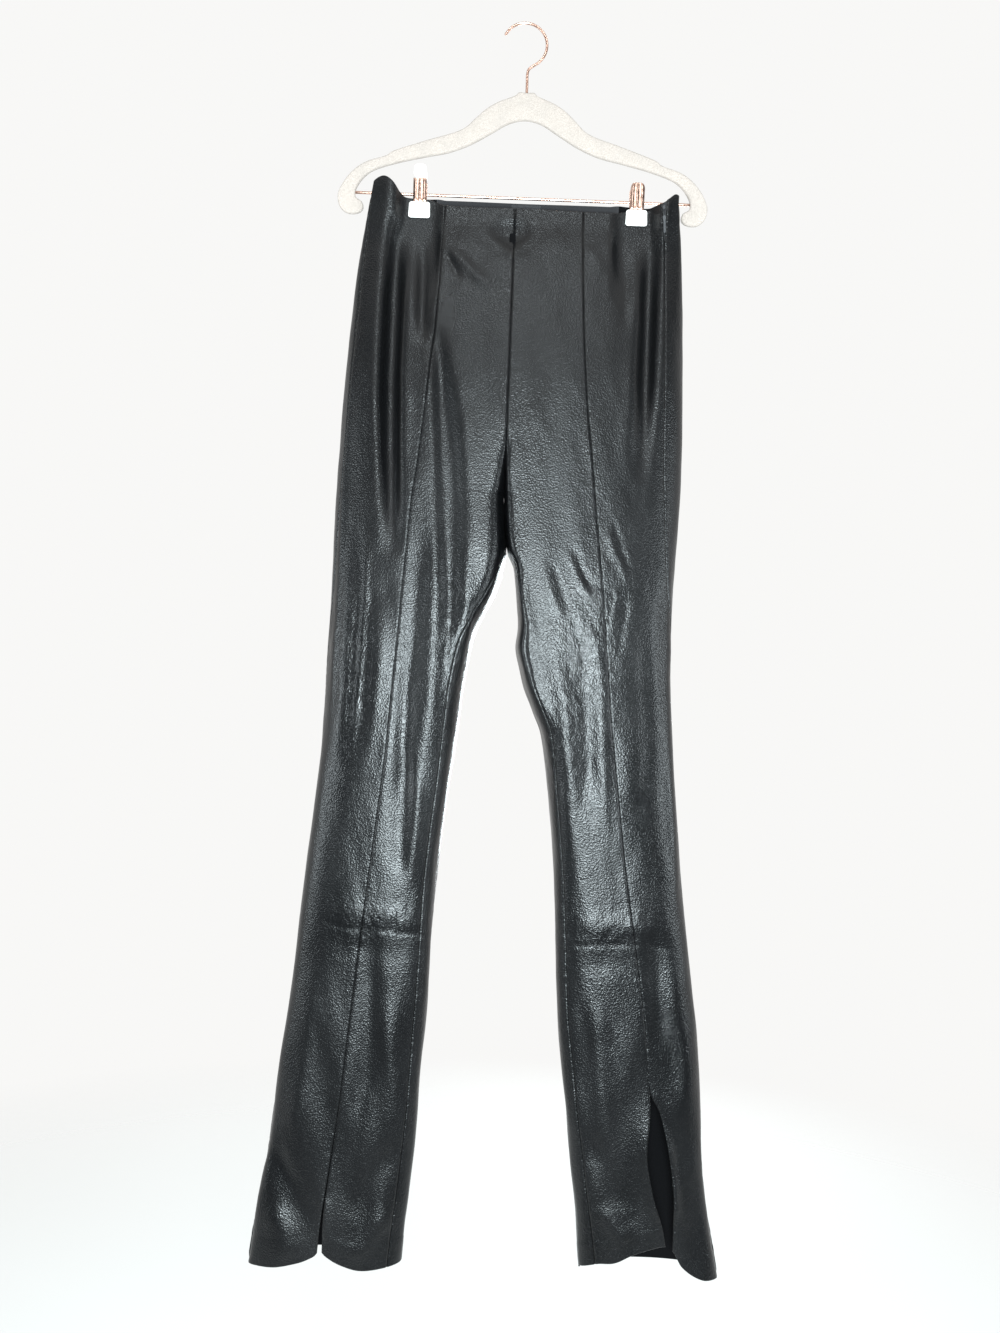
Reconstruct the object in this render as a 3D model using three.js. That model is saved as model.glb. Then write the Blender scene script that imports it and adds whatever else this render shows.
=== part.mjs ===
// Leather trousers hung by the waist from a clip hanger.
// Millimetres, +Z up, +X towards the wearer's left, the front of the trousers faces -Y.
// The origin is the top of the hook's inner curve, where it rests on a rail.
import * as THREE from 'three';

// ---- driving sizes of the cloth ----
const CLOTH = 1.2; // thickness of the bonded leather cloth
const SEAM_GAP = 0.3; // between the edges of two sewn pieces
const HUNG_OFFSET = 4; // hanger body and trousers hang this far along +X from the hook
const MIDDLE = -8; // x of the centre seams
const WAIST_TOP = -200; // nominal height of the waist edge
const CROTCH = -535; // height of the crotch point
const HEM = -1400; // nominal height of the hem
const FRONT_CURVE_TOP = -455; // where the centre front seam starts to curve under
const BACK_CURVE_TOP = -425; // where the centre back seam starts to curve under
const SPLIT_TOP = -1195; // where the front seam of each leg is left open

// ---- driving sizes of the hanger ----
const HOOK_RADIUS = 25; // of the hook wire's centre line
const HOOK_WIRE = 1.5; // radius of the wire
const ARM_THICK = 7; // flocked arms, front to back
const BAR_Z = -197;
const BAR_RADIUS = 1.6;
const CLIP_RIGHT_X = -116; // wearer's right
const CLIP_LEFT_X = 129; // wearer's left
const JAW_TOP = -206;
const JAW_BOTTOM = -224;
const JAW_WIDTH = 24;
const JAW_FACE = 1.95; // from the middle plane to a pad's gripping face
const PINCHED = 1.6; // from the middle plane to the cloth's outer face in the jaws
const PINCH_HALF = 25; // half the width of waist that a clip holds shut

// Outline of each half: z, silhouette x, innermost x, the front seam's two edges and the side seam.
const RIGHT_OUTLINE = [
  { z: -200, outer: -173, inner: MIDDLE, centreEdge: -87, sideEdge: -87, side: -170 },
  { z: -260, outer: -179.5, inner: MIDDLE, centreEdge: -89, sideEdge: -89, side: -174 },
  { z: -350, outer: -189, inner: MIDDLE, centreEdge: -91, sideEdge: -91, side: -181 },
  { z: -430, outer: -193, inner: MIDDLE, centreEdge: -98, sideEdge: -98, side: -184.5 },
  { z: -500, outer: -196, inner: MIDDLE, centreEdge: -104, sideEdge: -104, side: -187 },
  { z: -535, outer: -197, inner: MIDDLE, centreEdge: -108, sideEdge: -108, side: -189 },
  { z: -570, outer: -198, inner: -5.7, centreEdge: -111, sideEdge: -111, side: -191 },
  { z: -598, outer: -198.5, inner: -3, centreEdge: -112.5, sideEdge: -112.5, side: -192.5 },
  { z: -612, outer: -198.5, inner: -5, centreEdge: -113.5, sideEdge: -113.5, side: -193 },
  { z: -630, outer: -198.5, inner: -9, centreEdge: -114.5, sideEdge: -114.5, side: -194 },
  { z: -650, outer: -198.5, inner: -16, centreEdge: -116, sideEdge: -116, side: -195 },
  { z: -675, outer: -198.5, inner: -28, centreEdge: -117, sideEdge: -117, side: -196 },
  { z: -700, outer: -199, inner: -38, centreEdge: -118.5, sideEdge: -118.5, side: -197.5 },
  { z: -745, outer: -200, inner: -46, centreEdge: -121.5, sideEdge: -121.5, side: -199.5 },
  { z: -790, outer: -201.5, inner: -50.5, centreEdge: -124.5, sideEdge: -124.5, side: -201.5 },
  { z: -840, outer: -204, inner: -55, centreEdge: -128.5, sideEdge: -128.5, side: -204 },
  { z: -965, outer: -215.5, inner: -67, centreEdge: -141, sideEdge: -141, side: -215.5 },
  { z: -1110, outer: -227.5, inner: -73, centreEdge: -155, sideEdge: -155, side: -227.5 },
  { z: -1200, outer: -238, inner: -77, centreEdge: -163, sideEdge: -163, side: -238 },
  { z: -1320, outer: -252, inner: -84, centreEdge: -174.5, sideEdge: -177.5, side: -252 },
  { z: -1360, outer: -258, inner: -88, centreEdge: -175, sideEdge: -184, side: -258 },
  { z: -1400, outer: -265, inner: -91, centreEdge: -177, sideEdge: -186, side: -265 },
];
const LEFT_OUTLINE = [
  { z: -200, outer: 179, inner: MIDDLE, centreEdge: 69, sideEdge: 69, side: 158 },
  { z: -260, outer: 181.5, inner: MIDDLE, centreEdge: 69.5, sideEdge: 69.5, side: 161.5 },
  { z: -350, outer: 187, inner: MIDDLE, centreEdge: 73, sideEdge: 73, side: 164.5 },
  { z: -430, outer: 189.5, inner: MIDDLE, centreEdge: 79, sideEdge: 79, side: 166.5 },
  { z: -500, outer: 190.5, inner: MIDDLE, centreEdge: 87.5, sideEdge: 87.5, side: 168.5 },
  { z: -535, outer: 190.5, inner: MIDDLE, centreEdge: 91.5, sideEdge: 91.5, side: 170.5 },
  { z: -570, outer: 189.5, inner: -5.5, centreEdge: 95.5, sideEdge: 95.5, side: 172.5 },
  { z: -590, outer: 188.5, inner: -3, centreEdge: 98, sideEdge: 98, side: 174 },
  { z: -600, outer: 188, inner: -0.5, centreEdge: 99, sideEdge: 99, side: 174.5 },
  { z: -612, outer: 187.5, inner: 6, centreEdge: 100.5, sideEdge: 100.5, side: 175.5 },
  { z: -631, outer: 186, inner: 8.8, centreEdge: 103, sideEdge: 103, side: 177 },
  { z: -659, outer: 184, inner: 11.3, centreEdge: 106, sideEdge: 106, side: 180.5 },
  { z: -682, outer: 183.5, inner: 13, centreEdge: 108.5, sideEdge: 108.5, side: 182.5 },
  { z: -705, outer: 184, inner: 11.5, centreEdge: 111, sideEdge: 111, side: 183.5 },
  { z: -728, outer: 184.5, inner: 16.6, centreEdge: 113.5, sideEdge: 113.5, side: 184.5 },
  { z: -750, outer: 186, inner: 22.5, centreEdge: 115.5, sideEdge: 115.5, side: 186 },
  { z: -775, outer: 188, inner: 33, centreEdge: 118, sideEdge: 118, side: 188 },
  { z: -800, outer: 190, inner: 43, centreEdge: 121, sideEdge: 121, side: 190 },
  { z: -865, outer: 196.5, inner: 53.5, centreEdge: 129.5, sideEdge: 129.5, side: 196.5 },
  { z: -965, outer: 208.5, inner: 64.5, centreEdge: 144, sideEdge: 144, side: 208.5 },
  { z: -1110, outer: 229, inner: 73.5, centreEdge: 169, sideEdge: 169, side: 229 },
  { z: -1190, outer: 237, inner: 83, centreEdge: 178.5, sideEdge: 178.5, side: 237 },
  { z: -1215, outer: 239, inner: 86, centreEdge: 180, sideEdge: 191, side: 239 },
  { z: -1262, outer: 243, inner: 92, centreEdge: 178, sideEdge: 203, side: 243 },
  { z: -1300, outer: 247.5, inner: 97, centreEdge: 185, sideEdge: 209, side: 247.5 },
  { z: -1345, outer: 254, inner: 103, centreEdge: 194, sideEdge: 211, side: 254 },
  { z: -1400, outer: 265.5, inner: 109, centreEdge: 204, sideEdge: 212, side: 265.5 },
];

// Depth of a section: furthest front and back, y of the inseam, the shares of the width over which the
// inner side rolls round at the front and at the back, and how square the outer side is.
const DEPTHS = [
  { z: -200, front: 6, back: 9, inseam: 12, frontRoll: 0.2, roll: 0.22, square: 2.4 },
  { z: -226, front: 10, back: 14, inseam: 12, frontRoll: 0.2, roll: 0.22, square: 2.4 },
  { z: -260, front: 19, back: 27, inseam: 12, frontRoll: 0.2, roll: 0.22, square: 2.4 },
  { z: -300, front: 29, back: 41, inseam: 12, frontRoll: 0.2, roll: 0.22, square: 2.4 },
  { z: -350, front: 38, back: 54, inseam: 12, frontRoll: 0.2, roll: 0.22, square: 2.4 },
  { z: -400, front: 44, back: 63, inseam: 12, frontRoll: 0.2, roll: 0.22, square: 2.4 },
  { z: -450, front: 47, back: 68, inseam: 12, frontRoll: 0.1, roll: 0.22, square: 2.4 },
  { z: -500, front: 49, back: 68, inseam: 12, frontRoll: 0.09, roll: 0.24, square: 2.4 },
  { z: -535, front: 50, back: 67, inseam: 12, frontRoll: 0.11, roll: 0.26, square: 2.45 },
  { z: -600, front: 52, back: 63, inseam: 12, frontRoll: 0.16, roll: 0.34, square: 2.6 },
  { z: -700, front: 52, back: 58, inseam: 4, frontRoll: 0.2, roll: 0.45, square: 2.9 },
  { z: -840, front: 48, back: 51, inseam: -5, frontRoll: 0.26, roll: 0.5, square: 3.1 },
  { z: -1000, front: 42, back: 44, inseam: -9, frontRoll: 0.36, roll: 0.5, square: 3.2 },
  { z: -1150, front: 35, back: 37, inseam: -9, frontRoll: 0.42, roll: 0.5, square: 3.2 },
  { z: -1300, front: 28, back: 30, inseam: -7, frontRoll: 0.46, roll: 0.5, square: 3.2 },
  { z: -1400, front: 24, back: 26, inseam: -6, frontRoll: 0.48, roll: 0.5, square: 3.2 },
];
const ROLL_POWER = { front: 2.8, back: 2.2 }; // how square the inner side rolls round
const INNER_CROWD = 1.6; // how closely the samples of a section crowd towards its inner side

// Height of the waist edge across the front and the back, over x.
const FRONT_WAIST = [
  { x: -174, z: -188 }, { x: -168, z: -183 }, { x: -160, z: -182 }, { x: -148, z: -188 },
  { x: -136, z: -199 }, { x: -128, z: -201.5 }, { x: -104, z: -203 }, { x: -86, z: -209.5 },
  { x: 0, z: -210 }, { x: 100, z: -211 }, { x: 117, z: -208 }, { x: 141, z: -206 },
  { x: 153, z: -201 }, { x: 164, z: -196 }, { x: 175, z: -189 }, { x: 179, z: -190 },
];
const BACK_WAIST = [
  { x: -174, z: -188 }, { x: -168, z: -183 }, { x: -160, z: -182 }, { x: -148, z: -188 },
  { x: -136, z: -199 }, { x: -128, z: -201.5 }, { x: -104, z: -202 }, { x: -86, z: -200 },
  { x: 0, z: -200 }, { x: 100, z: -200 }, { x: 117, z: -202 }, { x: 141, z: -203 },
  { x: 153, z: -200 }, { x: 164, z: -195 }, { x: 175, z: -189 }, { x: 179, z: -190 },
];
const WAIST_FADE = 60; // the waist edge's rise has died away this far below it
const EAR_LEAN = 0.35; // the raised corners of the waist lean in by this share of their rise
const EAR_POWER = 4; // how quickly that lean dies away from the silhouette inwards
const EAR_FORWARD = 9.5; // the corners stand in front of the hanger's bar
const EAR_START = 15; // beyond the middle of a clip, towards the side seam
const EAR_BLEND = 14;
const EAR_FOOT = -262; // below here the sides are back in line

// Height of the hem over x: each leg's front, and its back.
const RIGHT_HEM = [
  { x: -266, z: -1407 }, { x: -232, z: -1405 }, { x: -206, z: -1399 }, { x: -188, z: -1391 },
  { x: -181, z: -1385 }, { x: -174, z: -1390 }, { x: -158, z: -1398 }, { x: -139, z: -1404 },
  { x: -119, z: -1403 }, { x: -91, z: -1397 },
];
const LEFT_HEM = [
  { x: 109, z: -1394 }, { x: 127, z: -1388 }, { x: 146, z: -1385 }, { x: 165, z: -1376 },
  { x: 187, z: -1368 }, { x: 204, z: -1365 }, { x: 212, z: -1370 }, { x: 223, z: -1388 },
  { x: 245, z: -1402 }, { x: 266, z: -1404 },
];
const BACK_HEM_RISE = 2; // the back hems sit this far above the nominal hem, near enough level
const HEM_FADE = 110;

const PINCH_FOOT = -330; // below here the clips' hold on the cloth has died away
const PINCH_FULL = JAW_BOTTOM - 2; // from here up the clips hold it fully
const PINCH_POWER = 8; // how abruptly the hold ends to either side

// Main folds. Each runs down from zTop to zEnd through three x; depth is inwards, a ridge is less than 0;
// peak is the share of its length at which it is deepest.
const FOLDS = [
  { face: 'front', zTop: -228, zEnd: -615, x: [-137, -140, -124], half: 11, depth: 15, peak: 0.3 },
  { face: 'front', zTop: -232, zEnd: -375, x: [-112, -107, -104], half: 9, depth: 6, peak: 0.35 },
  { face: 'front', zTop: -350, zEnd: -700, x: [-91, -65, -62], half: 12, depth: 6, peak: 0.45 },
  { face: 'front', zTop: -240, zEnd: -520, x: [145, 144, 141], half: 11, depth: 12, peak: 0.4 },
  { face: 'front', zTop: -236, zEnd: -350, x: [114, 118, 120], half: 9, depth: 4, peak: 0.4 },
  { face: 'front', zTop: -212, zEnd: -272, x: [-12, -11, -10], half: 26, depth: 4, peak: 0.5 },
  { face: 'front', zTop: -600, zEnd: -960, x: [-100, -106, -112], half: 12, depth: 4, peak: 0.5 },
  { face: 'back', zTop: -226, zEnd: -520, x: [-118, -124, -130], half: 15, depth: 14, peak: 0.35 },
  { face: 'back', zTop: -226, zEnd: -540, x: [130, 127, 120], half: 15, depth: 13, peak: 0.35 },
  { face: 'back', zTop: -470, zEnd: -800, x: [-95, -104, -118], half: 16, depth: 6, peak: 0.4 },
  { face: 'back', zTop: -480, zEnd: -830, x: [88, 100, 122], half: 16, depth: 6, peak: 0.45 },
  { face: 'front', zTop: -170, zEnd: -290, x: [-152, -156, -160], half: 15, depth: -5, peak: 0.3 },
  { face: 'front', zTop: -175, zEnd: -290, x: [160, 163, 166], half: 13, depth: -3, peak: 0.3 },
];

// Nominal heights of the rows of each panel, denser at the waist, round the crotch and at the hem.
const CURVE_ROWS = 5;
const curveRows = Array.from({ length: CURVE_ROWS }, (_, k) =>
  FRONT_CURVE_TOP + (CROTCH - FRONT_CURVE_TOP) * Math.sin((Math.PI / 2) * (k + 1) / CURVE_ROWS));
const LEVELS = [
  -200, -206, -214, -226, -240, -262, -290, -325, -365, -410, FRONT_CURVE_TOP, ...curveRows,
  -560, -590, -625, -660, -700, -770, -850, -930, -1020, -1105, SPLIT_TOP,
  -1240, -1290, -1335, -1370, HEM,
];

// A fold's profile across its line: a trough with low banks, in shares of its half width.
const FOLD_BANK = 0.6;
const FOLD_WIDTH = 0.8;
const FOLD_EDGE = 1.4; // folds fade where the section is shallower than its depth over this

// ---- small tools ----
const clamp01 = (v) => Math.min(1, Math.max(0, v));
const mix = (a, b, t) => a + (b - a) * t;
const soft = (t) => clamp01(t) ** 2 * (3 - 2 * clamp01(t));

// Smooth value of one column of a table at a key: a cubic with the slopes of the neighbouring rows.
function lookup(rows, key, at, column) {
  const sign = rows[1][key] > rows[0][key] ? 1 : -1;
  let i = 0;
  while (i < rows.length - 2 && sign * (at - rows[i + 1][key]) > 0) i += 1;
  const slope = (k) => {
    const a = rows[Math.max(0, k - 1)];
    const b = rows[Math.min(rows.length - 1, k + 1)];
    return (b[column] - a[column]) / (b[key] - a[key]);
  };
  const span = rows[i + 1][key] - rows[i][key];
  const t = clamp01((at - rows[i][key]) / span);
  const p = rows[i][column];
  const q = rows[i + 1][column];
  const a = slope(i) * span;
  const b = slope(i + 1) * span;
  return p * (1 + 2 * t) * (1 - t) ** 2 + a * t * (1 - t) ** 2 + q * t * t * (3 - 2 * t) - b * t * t * (1 - t);
}

// How open the section is at the centre seam: 1 above the curve, 0 at the crotch, a quarter ellipse between.
function openness(z, curveTop) {
  if (z >= curveTop) return 1;
  if (z <= CROTCH) return 0;
  return Math.sqrt(1 - ((curveTop - z) / (curveTop - CROTCH)) ** 2);
}

// A fold's inward push at x and z: a soft trough with low banks, rising and dying away along its length.
function foldPush(face, x, z) {
  let push = 0;
  for (const fold of FOLDS) {
    const t = (z - fold.zTop) / (fold.zEnd - fold.zTop);
    if (fold.face !== face || t <= 0 || t >= 1) continue;
    const [a, b, c] = fold.x;
    const line = a * (1 - t) * (1 - 2 * t) + 4 * b * t * (1 - t) + c * t * (2 * t - 1);
    const q = ((x - line) / fold.half) ** 2;
    const along = Math.sin(Math.PI * t ** (Math.log(0.5) / Math.log(fold.peak)));
    push += fold.depth * along * (1 - FOLD_BANK * q) * Math.exp(-FOLD_WIDTH * q);
  }
  return push;
}

// How firmly the clips hold the cloth shut at x and z, 0 to 1.
function pinch(x, z) {
  const hold = soft((z - PINCH_FOOT) / (PINCH_FULL - PINCH_FOOT));
  const right = Math.exp(-(((x - CLIP_RIGHT_X) / PINCH_HALF) ** PINCH_POWER));
  const left = Math.exp(-(((x - CLIP_LEFT_X) / PINCH_HALF) ** PINCH_POWER));
  return hold * Math.max(right, left);
}

// ---- the two halves ----
const HALVES = {
  right: { side: -1, outline: RIGHT_OUTLINE, hem: RIGHT_HEM, clip: CLIP_RIGHT_X },
  left: { side: 1, outline: LEFT_OUTLINE, hem: LEFT_HEM, clip: CLIP_LEFT_X },
};
const SAMPLES = 150; // along the front, and along the back, of one half's section

// One half's section at a nominal height: a curve from the centre front or inseam, round the outside,
// to the centre back or inseam. The share s of the width runs from 0 at the inner side to 1 outside.
// The depth falls to nothing outside, and rolls round to the inseam on the inner side where the legs part.
function section(half, z) {
  const outer = lookup(half.outline, 'z', z, 'outer');
  const innermost = z >= CROTCH ? MIDDLE : lookup(half.outline, 'z', z, 'inner');
  const inner = innermost + half.side * SEAM_GAP / 2;
  const square = lookup(DEPTHS, 'z', z, 'square');
  const inseam = lookup(DEPTHS, 'z', z, 'inseam');
  const rise = soft((z - WAIST_TOP + WAIST_FADE) / WAIST_FADE);
  const drop = soft((HEM + HEM_FADE - z) / HEM_FADE);
  const points = [];
  for (const face of ['front', 'back']) {
    const depth = (face === 'front' ? -1 : 1) * lookup(DEPTHS, 'z', z, face);
    const roll = lookup(DEPTHS, 'z', z, face === 'front' ? 'frontRoll' : 'roll');
    const power = ROLL_POWER[face];
    const open = openness(z, face === 'front' ? FRONT_CURVE_TOP : BACK_CURVE_TOP);
    for (let k = 0; k <= SAMPLES; k += 1) {
      const turn = face === 'front' ? k / SAMPLES : 1 - k / SAMPLES;
      if (face === 'back' && k === 0) continue;
      const q = turn ** INNER_CROWD;
      const s = mix((1 - Math.cos(Math.PI * q)) / 2, Math.sin(Math.PI * q / 2), open);
      const outside = (1 - s ** square) ** (1 / square);
      const inside = (1 - (1 - Math.min(1, s / roll)) ** power) ** (1 / power);
      const base = inseam * (1 - s);
      let x = inner + (outer - inner) * s;
      let y = mix(base, depth * outside, mix(inside, 1, open));
      const push = foldPush(face, x, z) * Math.min(1, Math.abs(y / depth) * FOLD_EDGE);
      y -= Math.sign(depth) * push;
      y = mix(y, Math.sign(depth) * PINCHED, pinch(x, z));
      const beyond = soft((half.side * (x - half.clip) - EAR_START) / EAR_BLEND);
      y -= EAR_FORWARD * beyond * soft((z - EAR_FOOT) / (WAIST_TOP - 2 - EAR_FOOT));
      const waist = lookup(face === 'front' ? FRONT_WAIST : BACK_WAIST, 'x', x, 'z') - WAIST_TOP;
      const hem = face === 'front' ? lookup(half.hem, 'x', x, 'z') - HEM : BACK_HEM_RISE;
      x -= half.side * EAR_LEAN * Math.max(0, waist) * rise * s ** EAR_POWER;
      points.push(new THREE.Vector3(x, y, z + waist * rise + hem * drop));
    }
  }
  const reach = [0];
  for (let k = 1; k < points.length; k += 1) {
    const a = points[k - 1];
    const b = points[k];
    reach.push(reach[k - 1] + Math.hypot(b.x - a.x, b.y - a.y));
  }
  return { points, reach, length: reach[reach.length - 1] };
}

// Point of a section at a distance along it.
function along(curve, distance) {
  const d = Math.min(curve.length, Math.max(0, distance));
  let lo = 0;
  let hi = curve.reach.length - 1;
  while (hi - lo > 1) {
    const middle = (lo + hi) >> 1;
    if (curve.reach[middle] <= d) lo = middle;
    else hi = middle;
  }
  const t = (d - curve.reach[lo]) / Math.max(1e-9, curve.reach[hi] - curve.reach[lo]);
  return curve.points[lo].clone().lerp(curve.points[hi], t);
}

// Distance along a section at which its front crosses x, or reaches the silhouette.
function crossing(half, curve, x) {
  for (let k = 1; k <= SAMPLES; k += 1) {
    const a = curve.points[k - 1].x * half.side;
    const b = curve.points[k].x * half.side;
    if (b >= x * half.side) {
      return mix(curve.reach[k - 1], curve.reach[k], clamp01((x * half.side - a) / Math.max(1e-9, b - a)));
    }
  }
  return curve.reach[SAMPLES];
}

// Width of the gap in the side seam: only the left one opens, above its zip.
const ZIP_STOP = -243;
const ZIP_MOUTH = 8;
function sideGap(half, z) {
  if (half.side < 0) return SEAM_GAP;
  return SEAM_GAP + ZIP_MOUTH * clamp01((z - ZIP_STOP) / (WAIST_TOP - ZIP_STOP));
}

// Where a panel starts and ends along a section.
const PANELS = {
  centre: (half, curve, z) => [
    SEAM_GAP / 2,
    crossing(half, curve, lookup(half.outline, 'z', z, 'centreEdge')) - SEAM_GAP / 2,
  ],
  side: (half, curve, z) => [
    crossing(half, curve, lookup(half.outline, 'z', z, 'sideEdge')) + SEAM_GAP / 2,
    crossing(half, curve, lookup(half.outline, 'z', z, 'side')) - sideGap(half, z) / 2,
  ],
  back: (half, curve, z) => [
    crossing(half, curve, lookup(half.outline, 'z', z, 'side')) + sideGap(half, z) / 2,
    curve.length - SEAM_GAP / 2,
  ],
};

// Point of a panel and its outward normal: u runs across it, z is the nominal height.
const STEP = 1.5; // up and down from the point, for the slope along the panel
const REACH = 0.6; // to either side of it, for the slope across
function onPanel(half, range, z, u) {
  const curve = section(half, z);
  const [start, end] = range(half, curve, z);
  return { curve, distance: mix(start, end, u), point: along(curve, mix(start, end, u)) };
}
function panelPoint(half, range, z, u) {
  const here = onPanel(half, range, z, u);
  const across = along(here.curve, here.distance + REACH).sub(along(here.curve, here.distance - REACH));
  const above = z + STEP > CROTCH && z <= CROTCH ? z : Math.min(z + STEP, WAIST_TOP);
  const below = z - STEP < CROTCH && z > CROTCH ? z : z - STEP;
  const down = onPanel(half, range, below, u).point.sub(onPanel(half, range, above, u).point);
  const normal = down.cross(across).normalize().multiplyScalar(half.side);
  return { point: here.point, normal };
}

// ---- solids from grids ----
// A closed wall between two grids of points of the same size.
function wall(outer, inner) {
  const rows = outer.length;
  const cols = outer[0].length;
  const position = [];
  for (const grid of [outer, inner]) {
    for (const row of grid) for (const p of row) position.push(p.x, p.y, p.z);
  }
  const at = (layer, r, c) => layer * rows * cols + r * cols + c;
  const index = [];
  const quad = (a, b, c, d) => index.push(a, b, c, a, c, d);
  for (let r = 0; r < rows - 1; r += 1) {
    for (let c = 0; c < cols - 1; c += 1) {
      quad(at(0, r, c), at(0, r + 1, c), at(0, r + 1, c + 1), at(0, r, c + 1));
      quad(at(1, r, c), at(1, r, c + 1), at(1, r + 1, c + 1), at(1, r + 1, c));
    }
    quad(at(0, r, 0), at(1, r, 0), at(1, r + 1, 0), at(0, r + 1, 0));
    quad(at(0, r, cols - 1), at(0, r + 1, cols - 1), at(1, r + 1, cols - 1), at(1, r, cols - 1));
  }
  for (let c = 0; c < cols - 1; c += 1) {
    quad(at(0, 0, c), at(0, 0, c + 1), at(1, 0, c + 1), at(1, 0, c));
    quad(at(0, rows - 1, c), at(1, rows - 1, c), at(1, rows - 1, c + 1), at(0, rows - 1, c + 1));
  }
  const geometry = new THREE.BufferGeometry();
  geometry.setAttribute('position', new THREE.Float32BufferAttribute(position, 3));
  geometry.setIndex(volume(position, index) < 0 ? index.reverse() : index);
  geometry.computeVertexNormals();
  return geometry;
}

// Signed volume of a closed mesh, more than 0 when its faces point outwards.
function volume(position, index) {
  const a = new THREE.Vector3();
  const b = new THREE.Vector3();
  const c = new THREE.Vector3();
  let total = 0;
  for (let k = 0; k < index.length; k += 3) {
    a.fromArray(position, 3 * index[k]);
    b.fromArray(position, 3 * index[k + 1]);
    c.fromArray(position, 3 * index[k + 2]);
    total += a.dot(b.cross(c)) / 6;
  }
  return total;
}

// A wall that follows a panel's outer face, from `inset` to `inset + thick` beneath it.
function clothWall(half, range, levels, columns, crowd, inset, thick) {
  const outer = [];
  const inner = [];
  for (const z of levels) {
    const outerRow = [];
    const innerRow = [];
    for (let c = 0; c <= columns; c += 1) {
      const { point, normal } = panelPoint(half, range, z, (c / columns) ** crowd);
      outerRow.push(point.clone().addScaledVector(normal, -inset));
      innerRow.push(point.clone().addScaledVector(normal, -inset - thick));
    }
    outer.push(outerRow);
    inner.push(innerRow);
  }
  return wall(outer, inner);
}

// A plate of even thickness whose middle line runs through points of the y-z plane, `width` wide along x.
function bentPlate(line, thick, width) {
  const left = [];
  const right = [];
  line.forEach(([y, z], k) => {
    const [y0, z0] = line[Math.max(0, k - 1)];
    const [y1, z1] = line[Math.min(line.length - 1, k + 1)];
    const size = Math.hypot(y1 - y0, z1 - z0);
    const ny = -(z1 - z0) / size;
    const nz = (y1 - y0) / size;
    left.push(new THREE.Vector2(y + ny * thick / 2, z + nz * thick / 2));
    right.unshift(new THREE.Vector2(y - ny * thick / 2, z - nz * thick / 2));
  });
  const shape = new THREE.Shape([...left, ...right]);
  const geometry = new THREE.ExtrudeGeometry(shape, { depth: width, bevelEnabled: false });
  // the shape's x and y become y and z, and its depth runs along x
  geometry.applyMatrix4(new THREE.Matrix4().set(0, 0, 1, -width / 2, 1, 0, 0, 0, 0, 1, 0, 0, 0, 0, 0, 1));
  return geometry;
}

// An upright rounded plate in the x-z plane, from y = 0 to y = thick.
function roundedPlate(width, height, corner, thick) {
  const w = width / 2;
  const h = height / 2;
  const shape = new THREE.Shape();
  shape.moveTo(-w + corner, -h);
  shape.lineTo(w - corner, -h);
  shape.absarc(w - corner, -h + corner, corner, -Math.PI / 2, 0, false);
  shape.lineTo(w, h - corner);
  shape.absarc(w - corner, h - corner, corner, 0, Math.PI / 2, false);
  shape.lineTo(-w + corner, h);
  shape.absarc(-w + corner, h - corner, corner, Math.PI / 2, Math.PI, false);
  shape.lineTo(-w, -h + corner);
  shape.absarc(-w + corner, -h + corner, corner, Math.PI, 1.5 * Math.PI, false);
  const geometry = new THREE.ExtrudeGeometry(shape, { depth: thick, bevelEnabled: false, curveSegments: 4 });
  geometry.applyMatrix4(new THREE.Matrix4().set(1, 0, 0, 0, 0, 0, -1, thick, 0, 1, 0, 0, 0, 0, 0, 1));
  return geometry;
}

// ---- finishes ----
const finish = (color, roughness, metalness) => new THREE.MeshStandardMaterial({ color, roughness, metalness });
const LEATHER = [0x17181b, 0.42, 0];
const FACING = [0x101012, 0.8, 0];
const LABEL = [0x1c1c1e, 0.6, 0];
const FLOCK = [0xd9d4cc, 0.95, 0];
const ROSE_GOLD = [0xc98f78, 0.28, 1];
const RUBBER = [0xf2f2f0, 0.55, 0];
const SILVER = [0xb8b9bb, 0.3, 1];

const trousers = new THREE.Group();
trousers.name = 'leather_trousers_on_hanger';
const hung = new THREE.Group();
hung.position.x = HUNG_OFFSET;
trousers.add(hung);
function add(name, geometry, look) {
  const mesh = new THREE.Mesh(geometry, finish(...look));
  mesh.name = name;
  hung.add(mesh);
  return mesh;
}

// ---- the cut pieces of the trousers ----
const COLUMNS = { centre: 6, side: 10, back: 20 };
const CENTRE_CROWD = 1.4; // the centre panels' columns crowd towards the rolled inner side
for (const [name, half] of Object.entries(HALVES)) {
  add(`${name}_front_centre`, clothWall(half, PANELS.centre, LEVELS, COLUMNS.centre, CENTRE_CROWD, 0, CLOTH), LEATHER);
  add(`${name}_front_side`, clothWall(half, PANELS.side, LEVELS, COLUMNS.side, 1, 0, CLOTH), LEATHER);
  add(`${name}_back`, clothWall(half, PANELS.back, LEVELS, COLUMNS.back, 1, 0, CLOTH), LEATHER);
}

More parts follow.
